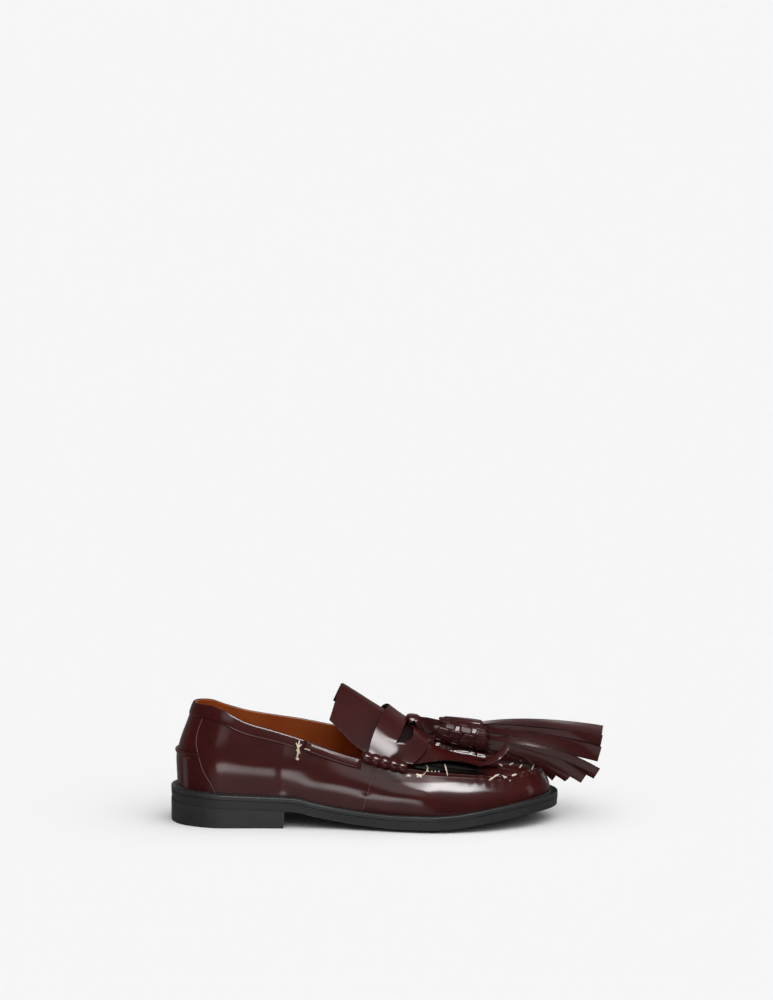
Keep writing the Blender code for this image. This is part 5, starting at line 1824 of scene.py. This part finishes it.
def reflector(name, *place, glow):
    """Bright card that the leather mirrors, dimmer towards its rim."""
    points, fade = card_grid(*place)
    index = np.arange((CARD_CELLS + 1) ** 2).reshape(CARD_CELLS + 1, CARD_CELLS + 1)
    corners = [index[:-1, :-1], index[1:, :-1], index[1:, 1:], index[:-1, 1:]]
    faces = np.stack(corners, axis=-1).reshape(-1, 4)
    material = plain_material(name + "_glow", (0.0, 0.0, 0.0), glow)
    card = stage_sheet(name, points.reshape(-1, 3).tolist(), faces.tolist(), material)
    card.data.attributes.new("fade", "FLOAT", "POINT").data.foreach_set("value", fade.ravel())
    tree = material.node_tree
    soft_edge = tree.nodes.new("ShaderNodeAttribute")
    soft_edge.attribute_name = "fade"
    tree.links.new(soft_edge.outputs["Fac"], tree.nodes["Principled BSDF"].inputs["Emission Color"])
    card.visible_camera = False
    card.visible_diffuse = False
    card.visible_shadow = False


for *place, brightness in REFLECTORS:
    reflector(*place, glow=brightness)
print("soft boxes:", len(REFLECTORS))

# %% [markdown]
# ## Room light
# The room itself gives the even light and the soft shadow under the sole. It is brightest overhead, a
# little towards the toe and the camera, and falls off all round. What the leather mirrors of it is set
# apart by the Light Path node, dim in front and brighter behind, so that the room does not wash out the
# soft boxes.
# %% Room light
# least and greatest strength of the even light, and of the light that the leather mirrors
ROOM_LIGHT = (0.0, 2.75)
ROOM_MIRRORED = (0.04, 0.35)
# direction of the brightest part, and the power by which it falls off
ROOM_TILT = (0.24, -0.22, 0.946)
ROOM_FOCUS = 3.2

world = bpy.data.worlds.new("soft_room")
bpy.context.scene.world = world
world.use_nodes = True
nodes, link = world.node_tree.nodes, world.node_tree.links.new
room = nodes["Background"]
room.inputs["Color"].default_value = (1.0, 1.0, 1.0, 1.0)
direction = nodes.new("ShaderNodeTexCoord")
split = nodes.new("ShaderNodeSeparateXYZ")
link(direction.outputs["Generated"], split.inputs["Vector"])
ray = nodes.new("ShaderNodeLightPath")
mix = nodes.new("ShaderNodeMix")
link(ray.outputs["Is Glossy Ray"], mix.inputs["Factor"])
toward_light = nodes.new("ShaderNodeVectorMath")
toward_light.operation = "DOT_PRODUCT"
toward_light.inputs[1].default_value = ROOM_TILT
link(direction.outputs["Generated"], toward_light.inputs[0])
only_front = nodes.new("ShaderNodeMath")
only_front.operation = "MAXIMUM"
only_front.inputs[1].default_value = 0.0
link(toward_light.outputs["Value"], only_front.inputs[0])
overhead = nodes.new("ShaderNodeMath")
overhead.operation = "POWER"
overhead.use_clamp = True
overhead.inputs[1].default_value = ROOM_FOCUS
link(only_front.outputs["Value"], overhead.inputs[0])
for socket, source, (low, high) in (
        ("A", overhead.outputs["Value"], ROOM_LIGHT), ("B", split.outputs["Y"], ROOM_MIRRORED)):
    fade = nodes.new("ShaderNodeMapRange")
    fade.inputs["To Min"].default_value = low
    fade.inputs["To Max"].default_value = high
    link(source, fade.inputs["Value"])
    link(fade.outputs["Result"], mix.inputs[socket])
link(mix.outputs["Result"], room.inputs["Strength"])
bpy.context.scene.view_settings.view_transform = "Standard"
print("room light up to", ROOM_LIGHT[1], "and mirrored up to", ROOM_MIRRORED[1])

# %% [markdown]
# ## Camera
# The camera looks at the outer side from a little above. It stands far off with a long lens, because a
# near one would swell the toe or the heel. The shoe sits low in the picture. Aiming the camera above it
# would do that too, but a shifted lens leaves the angle on the shoe as it is.
# %% Camera
CAMERA_RISE = math.radians(13.0)
CAMERA_DISTANCE = 4.0
SENSOR_WIDTH = 36.0
CLIP_END = 100.0
# height of the picture at the shoe in metres, share of it by which the shoe sits below the middle
FRAME_HEIGHT = 0.7364
AIM_BELOW_CENTRE = 0.2569


def aim_rotation(direction):
    """Rotation whose -Z axis points along a direction."""
    flat = math.hypot(direction[0], direction[1])
    tilt = math.atan2(flat, -direction[2])
    turn = math.atan2(direction[1], direction[0]) - math.pi / 2
    return (tilt, 0.0, turn)


lens = bpy.data.cameras.new("photo_camera")
lens.sensor_width = SENSOR_WIDTH
lens.lens = lens.sensor_width * CAMERA_DISTANCE / FRAME_HEIGHT
lens.shift_y = AIM_BELOW_CENTRE
lens.clip_end = CLIP_END
camera = bpy.data.objects.new("photo_camera", lens)
bpy.context.collection.objects.link(camera)
toward = np.array([0.0, math.cos(CAMERA_RISE), -math.sin(CAMERA_RISE)])
camera.location = np.array(AIM) - toward * CAMERA_DISTANCE
camera.rotation_euler = aim_rotation(toward)
bpy.context.scene.camera = camera
print("camera:", [round(v, 3) for v in camera.location], "lens", round(lens.lens, 1), "mm")
